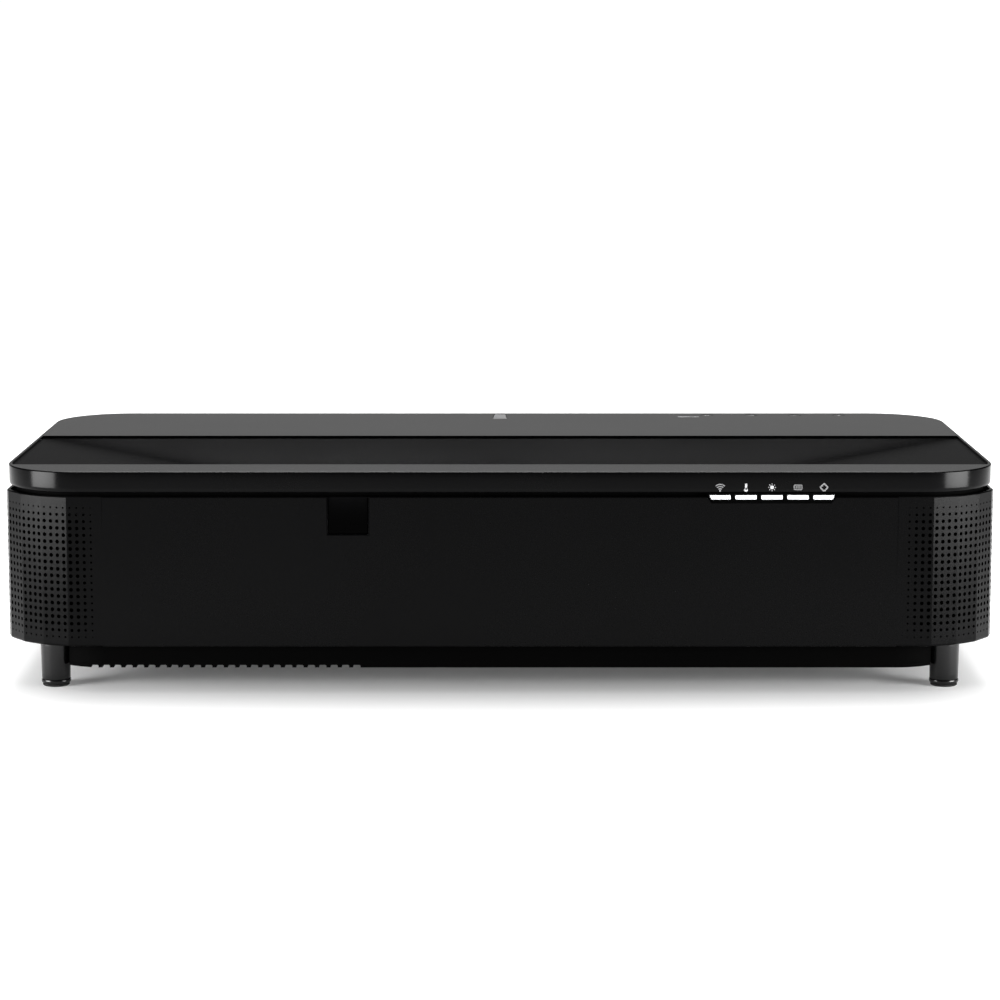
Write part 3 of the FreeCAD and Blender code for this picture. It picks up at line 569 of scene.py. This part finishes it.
def valleyTray():
    # Height is the largest of four planes: the floor, a facet falling from each side edge and the slope that
    # rises to the ridge. The maximum is softened, so the planes meet in a narrow hollow curve.
    s = valleyShape
    low, high = nodeBox("valley_insert")
    paneLow, paneHigh = nodeBox("projection_window")
    edgeZ = topZ - s["drop"]
    floorZ = low[2] + 2.2
    windowX, windowY0, windowY1 = paneHigh[0] - 5, paneLow[1] + 4, paneHigh[1] - 4
    us = np.unique(np.concatenate([np.linspace(low[0], high[0], s["columns"]), [-windowX, windowX]]))
    vs = np.unique(np.concatenate([np.linspace(low[1] + 2.4, high[1], s["rows"]), [windowY0, windowY1]]))

    def height(x, y):
        planes = np.stack([np.full(x.shape, floorZ), edgeZ - s["sideSlope"] * (halfW - 3.5 - np.abs(x)),
                           edgeZ - s["rearSlope"] * (high[1] - 0.2 - y)])
        soft = s["blend"] * np.log(np.exp((planes - floorZ) / s["blend"]).sum(axis=0)) + floorZ
        hard = planes.max(axis=0)
        near = np.clip((np.abs(x) - windowX) / 20, 0, 1) + np.clip((y - windowY1) / 5, 0, 1)
        return np.minimum(hard + (soft - hard) * np.clip(near, 0, 1) * 0.8, edgeZ)

    def place(u, v, side):
        # near the front the tray keeps inside the cover's rounded corners
        radius = coverShape["radius"] - coverShape["wall"] - 0.2
        into = np.maximum(-(halfD - coverShape["radius"]) - v, 0)
        limit = halfW - coverShape["radius"] + np.sqrt(radius * radius - into * into)
        x = np.clip(u, -limit, limit)
        return np.stack([x, v, height(x, v) - side * s["wall"]], axis=-1)

    midU, midV = (us[1:] + us[:-1]) / 2, (vs[1:] + vs[:-1]) / 2
    hole = (np.abs(midU) < windowX)[:, None] & ((midV > windowY0) & (midV < windowY1))[None, :]
    quads = [slabQuads(us, vs, ~hole, place)]
    x = place(us, np.full(us.shape, vs[0]), 0)[:, 0]
    foot = height(x, np.full(x.shape, vs[0])) - s["wall"]
    wallFront = np.stack([np.stack([x, np.full(x.shape, low[1] + 0.1), foot], axis=-1),
                          np.stack([x, np.full(x.shape, low[1] + 0.1), np.full(x.shape, edgeZ)], axis=-1),
                          np.stack([x, np.full(x.shape, vs[0]), np.full(x.shape, edgeZ)], axis=-1),
                          np.stack([x, np.full(x.shape, vs[0]), foot], axis=-1)])
    quads.append(ringQuads(wallFront.transpose(1, 0, 2)))
    ends = [wallFront[:, 0], wallFront[:, -1]]
    piece = makePiece("valleyTray", "projector", quads, ends, 20)
    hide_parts("valley_insert")
    piece.data.materials.append(finishes["valleySatin"])


valleyTray()
print("cover and valley")

# perforated corners

cornerShape = {"flatHalf": 300.4, "facetTurn": 18.0, "holesPerFacet": 4, "pitch": 4.79, "radius": 1.4,
               "rows": 20, "firstRow": 130.9, "rowFade": (0.5, 0.8, 0.95),
               "columnFade": (0.97, 0.92, 0.8, 0.55),
               "frontEnd": 276.0, "sideEnd": 66.0, "wall": 2.5, "bevel": 0.7, "foot": 1.6, "smallest": 0.12}


def cornerGrille(name, signX, signY):
    # The wall's outer and inner skins follow the faceted outline by arc length. Every cell of the square
    # grid is
    # a twelve-sided ring between the cell's border and its hole, on both skins, joined by the hole's wall.
    s = cornerShape
    outer = np.vstack([[s["frontEnd"], 0], cornerChain(s, 0), [halfW, s["sideEnd"]]])
    inner = np.vstack([[s["frontEnd"], s["wall"]], cornerChain(s, s["wall"]),
                       [halfW - s["wall"], s["sideEnd"]]])
    knots = np.concatenate([[0], np.hypot(*np.diff(outer, axis=0).T).cumsum()])

    def place(along, z, depth):
        # depth runs from 0 on the outer skin to 1 on the inner one
        xy = [np.interp(along, knots, outer[:, k]) * (1 - depth) + np.interp(along, knots,
                                                                             inner[:, k]) * depth
              for k in (0, 1)]
        return np.stack([signX * xy[0], signY * (halfD - xy[1]) * -1, z + 0 * along], axis=-1)

    pitch, fading = s["pitch"], len(s["columnFade"])
    start = knots[1] - fading * pitch
    edges = [start + k * pitch for k in range(fading)]
    edges += [a + k * pitch for a in knots[1:4] for k in range(s["holesPerFacet"])] + [knots[4]]
    edges += [knots[5] + k * pitch for k in range(fading + 1)]
    edges = np.array(edges)
    columns = len(edges) - 1
    fade = np.ones(columns)
    fade[:fading] = s["columnFade"][::-1]
    fade[-fading:] = s["columnFade"]
    rows = s["rows"]
    fromEnd = np.minimum(np.arange(rows), rows - 1 - np.arange(rows))
    rowScale = np.where(fromEnd < 3, np.array(s["rowFade"] + (1.0,))[np.minimum(fromEnd, 3)], 1.0)
    radius = np.maximum(s["radius"] * fade[:, None] * rowScale[None, :], s["smallest"])
    midU = ((edges[1:] + edges[:-1]) / 2)[:, None, None] + 0 * radius[..., None]
    halfU = ((edges[1:] - edges[:-1]) / 2)[:, None, None] + 0 * radius[..., None]
    midZ = (s["firstRow"] - np.arange(rows) * pitch)[None, :, None] + 0 * radius[..., None]
    t = np.radians(15 + 30 * np.arange(12))
    squareU = np.clip(np.cos(t) / math.cos(math.radians(15)), -1, 1)
    squareZ = np.clip(np.sin(t) / math.cos(math.radians(15)), -1, 1)
    near = math.tan(math.radians(15))
    squareU = np.where(np.abs(squareU) < 0.5, np.sign(squareU) * near, np.sign(squareU))
    squareZ = np.where(np.abs(squareZ) < 0.5, np.sign(squareZ) * near, np.sign(squareZ))
    borderU, borderZ = midU + halfU * squareU, midZ + pitch / 2 * squareZ
    holeU, holeZ = midU + radius[..., None] * np.cos(t), midZ + radius[..., None] * np.sin(t)
    rings = np.stack([place(borderU, borderZ, 0), place(holeU, holeZ, 0), place(holeU, holeZ, 1),
                      place(borderU, borderZ, 1)])
    after = np.roll(rings, -1, axis=3)
    quads = [np.stack([rings[k], after[k], after[k + 1], rings[k + 1]], axis=-2).reshape(-1, 4,
                                                                                         3) for k in range(3)]
    # plain strips above, below and beside the holes
    lineU = np.unique(np.concatenate([edges, (midU + halfU * near)[:, 0, 0],
                                      (midU - halfU * near)[:, 0, 0]]).round(6))
    zTop, zBottom = s["firstRow"] + pitch / 2, s["firstRow"] - (rows - 0.5) * pitch
    zLines = np.concatenate([midZ[0, :, 0] + pitch / 2 * k for k in (-1, -near, near, 1)])
    zLines = np.unique(zLines.round(6))
    lineZ = {"top": [(zTop, 0), (caseHigh[2] - s["bevel"], 0), (caseHigh[2], s["bevel"] / s["wall"]),
                     (caseHigh[2], 1), (zTop, 1)],
             "bottom": [(zBottom, 0), (caseLow[2] + s["foot"], 0), (caseLow[2] + s["foot"] * 0.3, 0.2),
                        (caseLow[2], 0.6), (caseLow[2], 1), (zBottom, 1)]}
    full = np.concatenate([[0], lineU, [knots[-1]]])
    for strip in lineZ.values():
        rowsOf = [place(full, np.full(full.shape, z), d) for z, d in strip]
        quads.append(gridQuads(np.array(rowsOf)))
    polygons = []
    for a, b in ((0, edges[0]), (edges[-1], knots[-1])):
        u = np.array([a, b])
        for depth in (0, 1):
            quads.append(gridQuads(np.array([place(u, np.full(2, z), depth) for z in zLines])))
    for end in (0, knots[-1]):
        u = np.array([end, end])
        skins = [np.array([place(np.array([end]), np.array([z]), d)[0] for z in zLines]) for d in (0, 1)]
        quads.append(gridQuads(np.array(skins)))
        for strip in lineZ.values():
            polygons.append(np.array([place(np.array([end]), np.array([z]), d)[0] for z, d in strip]))
    piece = makePiece(name, "projector", quads, polygons, 12)
    piece.data.materials.append(finishes["caseMoulding"])
    # dark sheet just behind the holes: painted shade that stands in for the shadowed inside of the case
    shadeSheetU = np.linspace(2, knots[-1] - 2, 40)
    shadeSheetZ = np.linspace(caseLow[2] + 6, caseHigh[2] - 14, 12)
    shadeSheet = makePiece(name.replace("Grille", "Cloth"), "projector",
                      [slabQuads(shadeSheetU, shadeSheetZ, np.ones((39, 11)), lambda a, b,
                                 side: place(a, b, 1.12 + side * 0.3))])
    shadeSheet.data.materials.append(finishes["baseMatt"])
    return piece


grilles = [cornerGrille(name, sx, sy) for name, sx, sy in (
    ("frontRightGrille", 1, 1), ("frontLeftGrille", -1, 1), ("rearRightGrille", 1, -1),
    ("rearLeftGrille", -1, -1))]
for grille in grilles:
    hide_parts("corner_grilles")
print("perforated corners")

# front face: status lights, printed marks and the remote receiver

def facingFront(y):
    # puts a flat drawing on a plane that faces the front; depth runs into the object
    return lambda u, v, depth: np.stack([u, y + depth, v], axis=-1)


def facingUp(z):
    return lambda u, v, depth: np.stack([u, v, z - depth], axis=-1)


lights = {"corner": 0.55, "round": 0.35, "slant": 1.5, "gap": 3.4, "bars": 5}


def statusBars():
    # five milky bars with rounded fronts; the outer ends of the first and the last bar slant
    s = lights
    low, high = nodeBox("status_lenses")
    barWidth = (high[0] - low[0] - s["gap"] * (s["bars"] - 1)) / s["bars"]
    quads, ends = [], []
    a = np.radians(np.linspace(0, 90, 5))
    front = [(s["round"] + 0.05, 0)] + [(s["round"] * (1 - math.sin(t)),
                                         s["round"] * (1 - math.cos(t))) for t in a]
    for k in range(s["bars"]):
        x0 = low[0] + k * (barWidth + s["gap"])
        left = s["slant"] if k == 0 else 0
        right = s["slant"] if k == s["bars"] - 1 else 0
        outline = roundedPolygon([(x0 + left, low[2]), (x0 + barWidth - right, low[2]),
                                  (x0 + barWidth, high[2]),
                                  (x0, high[2])], s["corner"])
        side, caps = stacked(outline, front + [(0, high[1] - low[1])], facingFront(low[1]))
        quads.append(side)
        ends += caps
    piece = makePiece("statusBars", "projector", quads, ends, 50)
    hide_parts("status_lenses")
    piece.data.materials.append(finishes["lightDiffuser"])


def wifiMark(place):
    arcs = [inkStroke(arcPath(r, 48, 132, 14, (0, -2.6)), 0.75, place) for r in (1.7, 3.2, 4.7)]
    return arcs + [inkDisc((0, -2.3), 0.75, place)]


def thermometerMark(place):
    return [inkStroke([(0, -1.6), (0, 0.4), (0, 2.6)], 1.5, place), inkDisc((0, -1.7), 1.35, place)]


def sunMark(place):
    rays = [inkStroke([(1.9 * math.cos(a), 1.9 * math.sin(a)), (2.7 * math.cos(a), 2.7 * math.sin(a))], 0.4,
                      place)
            for a in np.radians(np.arange(0, 360, 45))]
    return [inkDisc((0, 0), 1.35, place)] + rays


def cardMark(place):
    frame = roundedPolygon(rectangle(-2.7, 2.7, -1.6, 1.6), 0.5)
    lines = [inkStroke([(x, -0.9), (x, 0), (x, 0.9)], 0.7, place) for x in (-1.3, 0, 1.3)]
    return [inkStroke(np.vstack([frame, frame[:2]]), 0.6, place)] + lines


def diamondMark(place):
    frame = roundedPolygon([(0, -2.7), (2.7, 0), (0, 2.7), (-2.7, 0)], 0.5)
    return [inkStroke(np.vstack([frame, frame[:2]]), 0.95, place)]


marks = {"height": 145.3, "proud": 0.03, "x": (152.2, 170.1, 188.1, 206.0, 224.0)}


def placed(quads, x, z):
    return [q + np.array([x, 0, z]) for q in quads]


def frontMarks():
    # plain pictograms above the bars: wireless, temperature, light source, card and diamond
    draw = (wifiMark, thermometerMark, sunMark, cardMark, diamondMark)
    names = ("wirelessMark", "temperatureMark", "lampMark", "cardMark", "diamondMark")
    inks = ("greyInk", "paleInk", "paleInk", "greyInk", "greyInk")
    face = facingFront(-halfD - marks["proud"])
    for make, name, x, ink in zip(draw, names, marks["x"], inks):
        piece = makePiece(name, "projector", placed(make(face), x, marks["height"]))
        piece.data.materials.append(finishes[ink])


receiver = {"corner": 0.8, "round": 0.6}


def receiverLens():
    # a dark pane with softened edges, set back in its cut-out
    low, high = nodeBox("receiver_window")
    outline = roundedPolygon(rectangle(low[0], high[0], low[2], high[2]), receiver["corner"])
    a = np.radians(np.linspace(0, 90, 5))
    front = [(receiver["round"] + 0.1, 0)]
    front += [(receiver["round"] * (1 - math.sin(t)), receiver["round"] * (1 - math.cos(t))) for t in a]
    side, ends = stacked(outline, front + [(0, high[1] - low[1])], facingFront(low[1]))
    piece = makePiece("receiverPane", "projector", [side], ends, 50)
    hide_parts("receiver_window")
    piece.data.materials.append(finishes["receiverAcrylic"])


panelShape = {"softness": 0.9, "lightLeft": 143.7, "lightRight": 231.9, "lightBottom": 134.9, "corner": 3.0,
              "receiverLeft": -119.3, "receiverRight": -91.3, "receiverBottom": 112.2}


def frontPanel():
    # The panel's outline dips round the receiver and the lights; its front edge is rounded all the way,
    # except
    # at both ends, where it meets the corners flush.
    s = panelShape
    low, high = nodeBox("front_panel")
    x0, x1, z0, z1 = low[0], high[0], low[2], high[2]
    left, right, bottom = s["lightLeft"], s["lightRight"], s["lightBottom"]
    outline = np.array([(x0, z0), (x1, z0), (x1, z1), (right, z1), (right, bottom + s["corner"]),
                        (right - s["corner"], bottom), (left + s["corner"], bottom),
                        (left, bottom + s["corner"]),
                        (left, z1), (s["receiverRight"], z1), (s["receiverRight"], s["receiverBottom"]),
                        (s["receiverLeft"], s["receiverBottom"]), (s["receiverLeft"], z1), (x0, z1)])
    a = np.radians(np.linspace(0, 90, 5))
    front = [(s["softness"] + 0.1, 0)]
    front += [(s["softness"] * (1 - math.sin(t)), s["softness"] * (1 - math.cos(t))) for t in a]
    face = facingFront(low[1])

    def flushEnds(u, v, depth):
        return face(np.where(np.abs(u) > x1 - 1, np.sign(u) * x1, u), v, depth)

    side, ends = stacked(outline, front + [(0, high[1] - low[1])], flushEnds)
    piece = makePiece("frontPanelShell", "projector", [side], ends, 60)
    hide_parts("front_panel")
    piece.data.materials.append(finishes["caseMoulding"])


frontPanel()
statusBars()
frontMarks()
receiverLens()
print("front face")

# buttons on the rear of the cover, with their printed signs

caps = {"round": 0.5, "dish": 0.25, "steps": 56, "stem": 1.6, "skirtWidth": 1.2, "skirtTop": 3.2,
        "skirtBottom": 4.4, "onAxis": 0.001}


def buttonCap(node, sign):
    # a slightly dished cap on its skirt and stem
    low, high = nodeBox(node)
    middle = (low + high) / 2
    skirt, top = (high[0] - low[0]) / 2, high[2]
    cap = skirt - caps["skirtWidth"]
    stem, shoulder, hem = caps["stem"], top - caps["skirtTop"], top - caps["skirtBottom"]
    a = np.radians(np.linspace(0, 90, 6))
    profile = [(caps["onAxis"], low[2]), (stem, low[2]), (stem, hem), (skirt, hem), (skirt, shoulder),
               (cap, shoulder)]
    profile += [(cap - caps["round"] * (1 - math.cos(t)), top - caps["round"] * (1 - math.sin(t))) for t in a]
    profile += [(r * (cap - caps["round"]), top - caps["dish"] * (1 - r * r)) for r in (0.8, 0.6, 0.4, 0.2,
                                                                                        caps["onAxis"])]
    piece = makePiece(node.replace("_button", "Cap"), node, [revolve(profile, (middle[0], middle[1], 0), 2,
                                                                     caps["steps"])])
    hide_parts(node)
    piece.data.materials.append(finishes["satinCover"])
    drawn = [q + np.array([middle[0], middle[1], 0]) for q in sign(facingUp(top - caps["dish"] * 0.35))]
    ink = makePiece(node.replace("_button", "Sign"), node, drawn)
    ink.data.materials.append(finishes["paleInk"])


def powerSign(place):
    return [inkStroke(arcPath(1.5, 125, 415, 26), 0.4, place),
            inkStroke([(0, 0.2), (0, 1), (0, 1.9)], 0.4, place)]


def sourceSign(place):
    box = [(-0.4, 1.6), (1.8, 1.6), (1.8, -1.6), (-0.4, -1.6)]
    arrow = [(-2.0, 0), (-0.8, 0), (0.6, 0)]
    head = [(-0.2, 0.8), (0.6, 0), (-0.2, -0.8)]
    return [inkStroke(box, 0.35, place), inkStroke(arrow, 0.35, place), inkStroke(head, 0.35, place)]


def minusSign(place):
    return [inkStroke([(-1.5, 0), (0, 0), (1.5, 0)], 0.4, place)]


def plusSign(place):
    return minusSign(place) + [inkStroke([(0, -1.5), (0, 0), (0, 1.5)], 0.4, place)]


for node, sign in zip(buttonNames, (powerSign, sourceSign, minusSign, plusSign)):
    buttonCap(node, sign)

topMarks = {"y": 146.0, "bar": (141.0, 158.0), "barWidth": 1.6, "proud": 0.012, "thickness": 0.02}


def coverMarks():
    # a pale standby dash left of the buttons, printed on the cover
    face = facingUp(topZ + topMarks["proud"])
    first, last = topMarks["bar"]
    line = [(x, topMarks["y"]) for x in (first, (first + last) / 2, last)]
    dash = [inkStroke(line, topMarks["barWidth"], face, topMarks["thickness"])]
    piece = makePiece("standbyDash", "projector", dash)
    piece.data.materials.append(finishes["paleInk"])


coverMarks()
print("buttons")

# feet

feet = {"steps": 72, "topGap": 0.4, "bore": 6.05, "ring": 10.4, "sleeve": 10.02, "flare": 0.58, "stud": 4.0,
        "tip": 3.2, "threadDepth": 0.22, "threadPitch": 1.25, "threadTurns": 18, "onAxis": 0.001}


def footLeg(node, body):
    # a slightly tapered sleeve above a rounded ring, with a threaded stud that goes up into the case
    low, high = nodeBox(node)
    middle = (low + high) / 2
    s = feet
    sleeveTop = caseLow[2] - s["topGap"]
    profile = [(s["onAxis"], 5.4), (s["bore"], 5.4), (s["bore"], 2.1), (6.15, 2.0), (9.3, 2.0), (9.9, 2.25),
               (10.25, 2.8), (s["ring"], 3.5), (10.3, 4.4), (10.0, 4.95), (9.85, 5.2), (9.9, 5.6),
               (s["sleeve"], 6.1)]
    profile += [(s["sleeve"] + s["flare"] * k, 6.1 + (sleeveTop - 6.9) * k) for k in np.linspace(0.1, 1, 8)]
    profile += [(10.45, sleeveTop - 0.3), (10.1, sleeveTop - 0.05), (9.8, sleeveTop)]
    turns = np.arange(0, s["threadTurns"], 0.5)
    thread = [(s["stud"] - s["threadDepth"] * (k % 2), sleeveTop + 0.2 + s["threadPitch"] * t)
              for k, t in enumerate(turns)]
    profile += [(s["stud"], sleeveTop)] + thread + [(s["tip"], high[2]), (s["onAxis"], high[2])]
    piece = makePiece(node.replace("_foot_leg", "FootLeg"), body,
                      [revolve(profile, (middle[0], middle[1], 0), 2, s["steps"])], (), 28)
    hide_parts(node)
    piece.data.materials.append(finishes["glossMoulding"])


for corner in ("front_left", "front_right", "rear_left", "rear_right"):
    footLeg(corner + "_foot_leg", corner + "_leg")
print("feet")

# carried-over nodes get their finishes

nodeFinish = {
    "projection_window": "windowGlass", "seam_band": "baseMatt", "sensor_window": "paleWindow",
    "left_side_panel": "caseMoulding", "right_side_panel": "caseMoulding",
    "rear_panel": "caseMoulding", "case_bottom": "caseMoulding", "base_pan": "baseMatt",
    "status_light_tray": "baseMatt",
    "button_board": "boardGreen", "filter_door": "caseMoulding",
    "filter_latch": "caseMoulding", "air_filter": "filterPaper", "cable_cover": "caseMoulding",
    "terminal_bay": "mattTrim", "hdmi_sockets": "brushedSteel", "usb_sockets": "brushedSteel",
    "audio_jacks": "glossMoulding", "mains_inlet": "mattTrim", "main_board": "boardGreen",
    "power_board": "boardGreen", "fan_frames": "fanMoulding", "front_exhaust_impeller": "fanMoulding",
    "rear_exhaust_impeller": "fanMoulding", "intake_impeller": "fanMoulding", "heat_sink": "finAlloy",
    "heat_pipes": "drawnCopper", "laser_module": "castAlloy", "wheel_housing": "castAlloy",
    "phosphor_wheel": "phosphorCoat", "optical_block": "castAlloy", "lens_barrel": "castAlloy",
    "front_lens": "lensGlass", "focus_ring": "turnedBrass", "focus_pinion": "turnedBrass",
    "focus_motor": "brushedSteel", "concave_mirror": "mirrorSilver", "mirror_bracket": "castAlloy",
    "speaker_boxes": "fanMoulding", "speaker_drivers": "coneBlack", "threaded_inserts": "turnedBrass",
    "base_screws": "brushedSteel",
}
for node, finish in nodeFinish.items():
    nodes[node].data.materials.clear()
    nodes[node].data.materials.append(finishes[finish])
for node in nodes:
    if node.endswith("_pad"):
        nodes[node].data.materials.clear()
        nodes[node].data.materials.append(finishes["padRubber"])

# studio: pale floor, white surround, two tall side lights and one overhead

# the floor's glow under the object, and the reach and spread of the painted shadow around its footprint, are
# set here
studio = {"paper": 0.8, "paintedShadowGlow": 0.07, "farGlow": 0.9, "reachX": 0.27, "reachY": 0.13, "spread": 0.17,
          "rearEnd": 2.2, "backdrop": 0.34, "surround": 0.04, "bandTop": 0.19, "overhead": 32,
          "sidePanel": 2.7,
          "rearPanel": 22, "white": 1.03}


def studioFloor():
    # White paper. It glows softly, as if lit from around, and its glow fades under the object into a painted
    # shadow.
    size = 9.0
    mesh = bpy.data.meshes.new("floor")
    rear = studio["rearEnd"]
    mesh.from_pydata([(-size, -size, 0), (size, -size, 0), (size, rear, 0), (-size, rear, 0)], [],
                     [(0, 1, 2, 3)])
    floor = bpy.data.objects.new("floor", mesh)
    bpy.context.scene.collection.objects.link(floor)
    paper = Finish("studioPaper", Roughness=0.9, Specular_IOR_Level=0.0, Emission_Strength=1.0)
    grain = paper.noise(900, 2)
    tone = studio["paper"]
    paper.feed("Base Color", paper.blend(paper.spread(grain, 0, 1), (tone * 0.98,) * 3, (tone,) * 3))
    vector = "ShaderNodeVectorMath"
    away = addNode(paper.tree, vector, {"operation": "ABSOLUTE"}, {0: paper.place})
    away = addNode(paper.tree, vector, {"operation": "SUBTRACT"},
                   {0: away, 1: (studio["reachX"], studio["reachY"], 0)})
    away = addNode(paper.tree, vector, {"operation": "MAXIMUM"}, {0: away, 1: (0, 0, 0)})
    away = addNode(paper.tree, vector, {"operation": "LENGTH"}, {0: away}, output="Value")
    # painted shadow: the floor's glow fades to a low level over the object's footprint and rises outside it
    outsidePaintedShadow = addNode(paper.tree, "ShaderNodeMapRange", {"interpolation_type": "SMOOTHSTEP"},
                  {"Value": away, "From Min": 0.0, "From Max": studio["spread"]})
    paper.feed("Emission Color", paper.blend(outsidePaintedShadow, (studio["paintedShadowGlow"],) * 3, (studio["farGlow"],) * 3))
    mesh.materials.append(paper.material)


def studioAir():
    # The surround is white low down behind the object and dim elsewhere, so its top picks up a pale sheen and
    # its front stays dark.
    world = bpy.data.worlds.new("studioAir")
    world.use_nodes = True
    bpy.context.scene.world = world
    tree = world.node_tree
    tree.nodes.clear()
    direction = addNode(tree, "ShaderNodeTexCoord", output="Generated")
    y = addNode(tree, "ShaderNodeSeparateXYZ", {}, {"Vector": direction}, output="Y")
    z = addNode(tree, "ShaderNodeSeparateXYZ", {}, {"Vector": direction}, output="Z")
    smooth = {"interpolation_type": "SMOOTHSTEP"}
    behind = addNode(tree, "ShaderNodeMapRange", smooth, {"Value": y, "From Min": 0.55, "From Max": 0.9})
    lowBand = addNode(tree, "ShaderNodeMapRange", smooth, {"Value": z, "From Min": studio["bandTop"],
                                                           "From Max": studio["bandTop"] + 0.12,
                                                           "To Min": 1.0, "To Max": 0.0})
    level = behind * lowBand * (studio["backdrop"] - studio["surround"]) + studio["surround"]
    seen = addNode(tree, "ShaderNodeLightPath", output="Is Camera Ray")
    shown = seen * studio["white"] + (1 - seen) * level
    background = tree.nodes.new("ShaderNodeBackground")
    background.inputs["Color"].default_value = rgba((1, 1, 1))
    tree.links.new(shown.socket, background.inputs["Strength"])
    output = tree.nodes.new("ShaderNodeOutputWorld")
    tree.links.new(background.outputs[0], output.inputs["Surface"])


def softLight(name, place, aim, width, height, power, spread=180):
    data = bpy.data.lights.new(name, "AREA")
    data.shape = "RECTANGLE"
    data.size, data.size_y, data.energy = width, height, power
    data.spread = math.radians(spread)
    lamp = bpy.data.objects.new(name, data)
    lamp.location = place
    lamp.rotation_euler = (Vector(aim) - Vector(place)).to_track_quat("-Z", "Y").to_euler()
    lamp.visible_camera = False
    bpy.context.scene.collection.objects.link(lamp)


studioFloor()
studioAir()
softLight("overheadPanel", (0, 0.35, 2.4), (0, 0.3, 0), 3.6, 3.0, studio["overhead"])
softLight("leftPanel", (-0.86, -0.46, 0.13), (-0.33, -0.16, 0.08), 0.46, 0.25, studio["sidePanel"], 90)
softLight("rightPanel", (0.86, -0.46, 0.13), (0.33, -0.16, 0.08), 0.46, 0.25, studio["sidePanel"], 90)
softLight("rearPanel", (0, 1.5, 1.4), (0, 0.1, 0.1), 1.4, 0.8, studio["rearPanel"], 120)

view = {"lens": 109.0, "place": (0.0, -2.2415, 0.446), "pitch": 81.5}
cameraData = bpy.data.cameras.new("camera")
cameraData.lens = view["lens"]
cameraData.sensor_width = 36.0
camera = bpy.data.objects.new("camera", cameraData)
camera.location = view["place"]
camera.rotation_euler = (math.radians(view["pitch"]), 0, 0)
bpy.context.scene.collection.objects.link(camera)
bpy.context.scene.camera = camera
bpy.context.scene.view_settings.view_transform = "Standard"

print("scene ready")
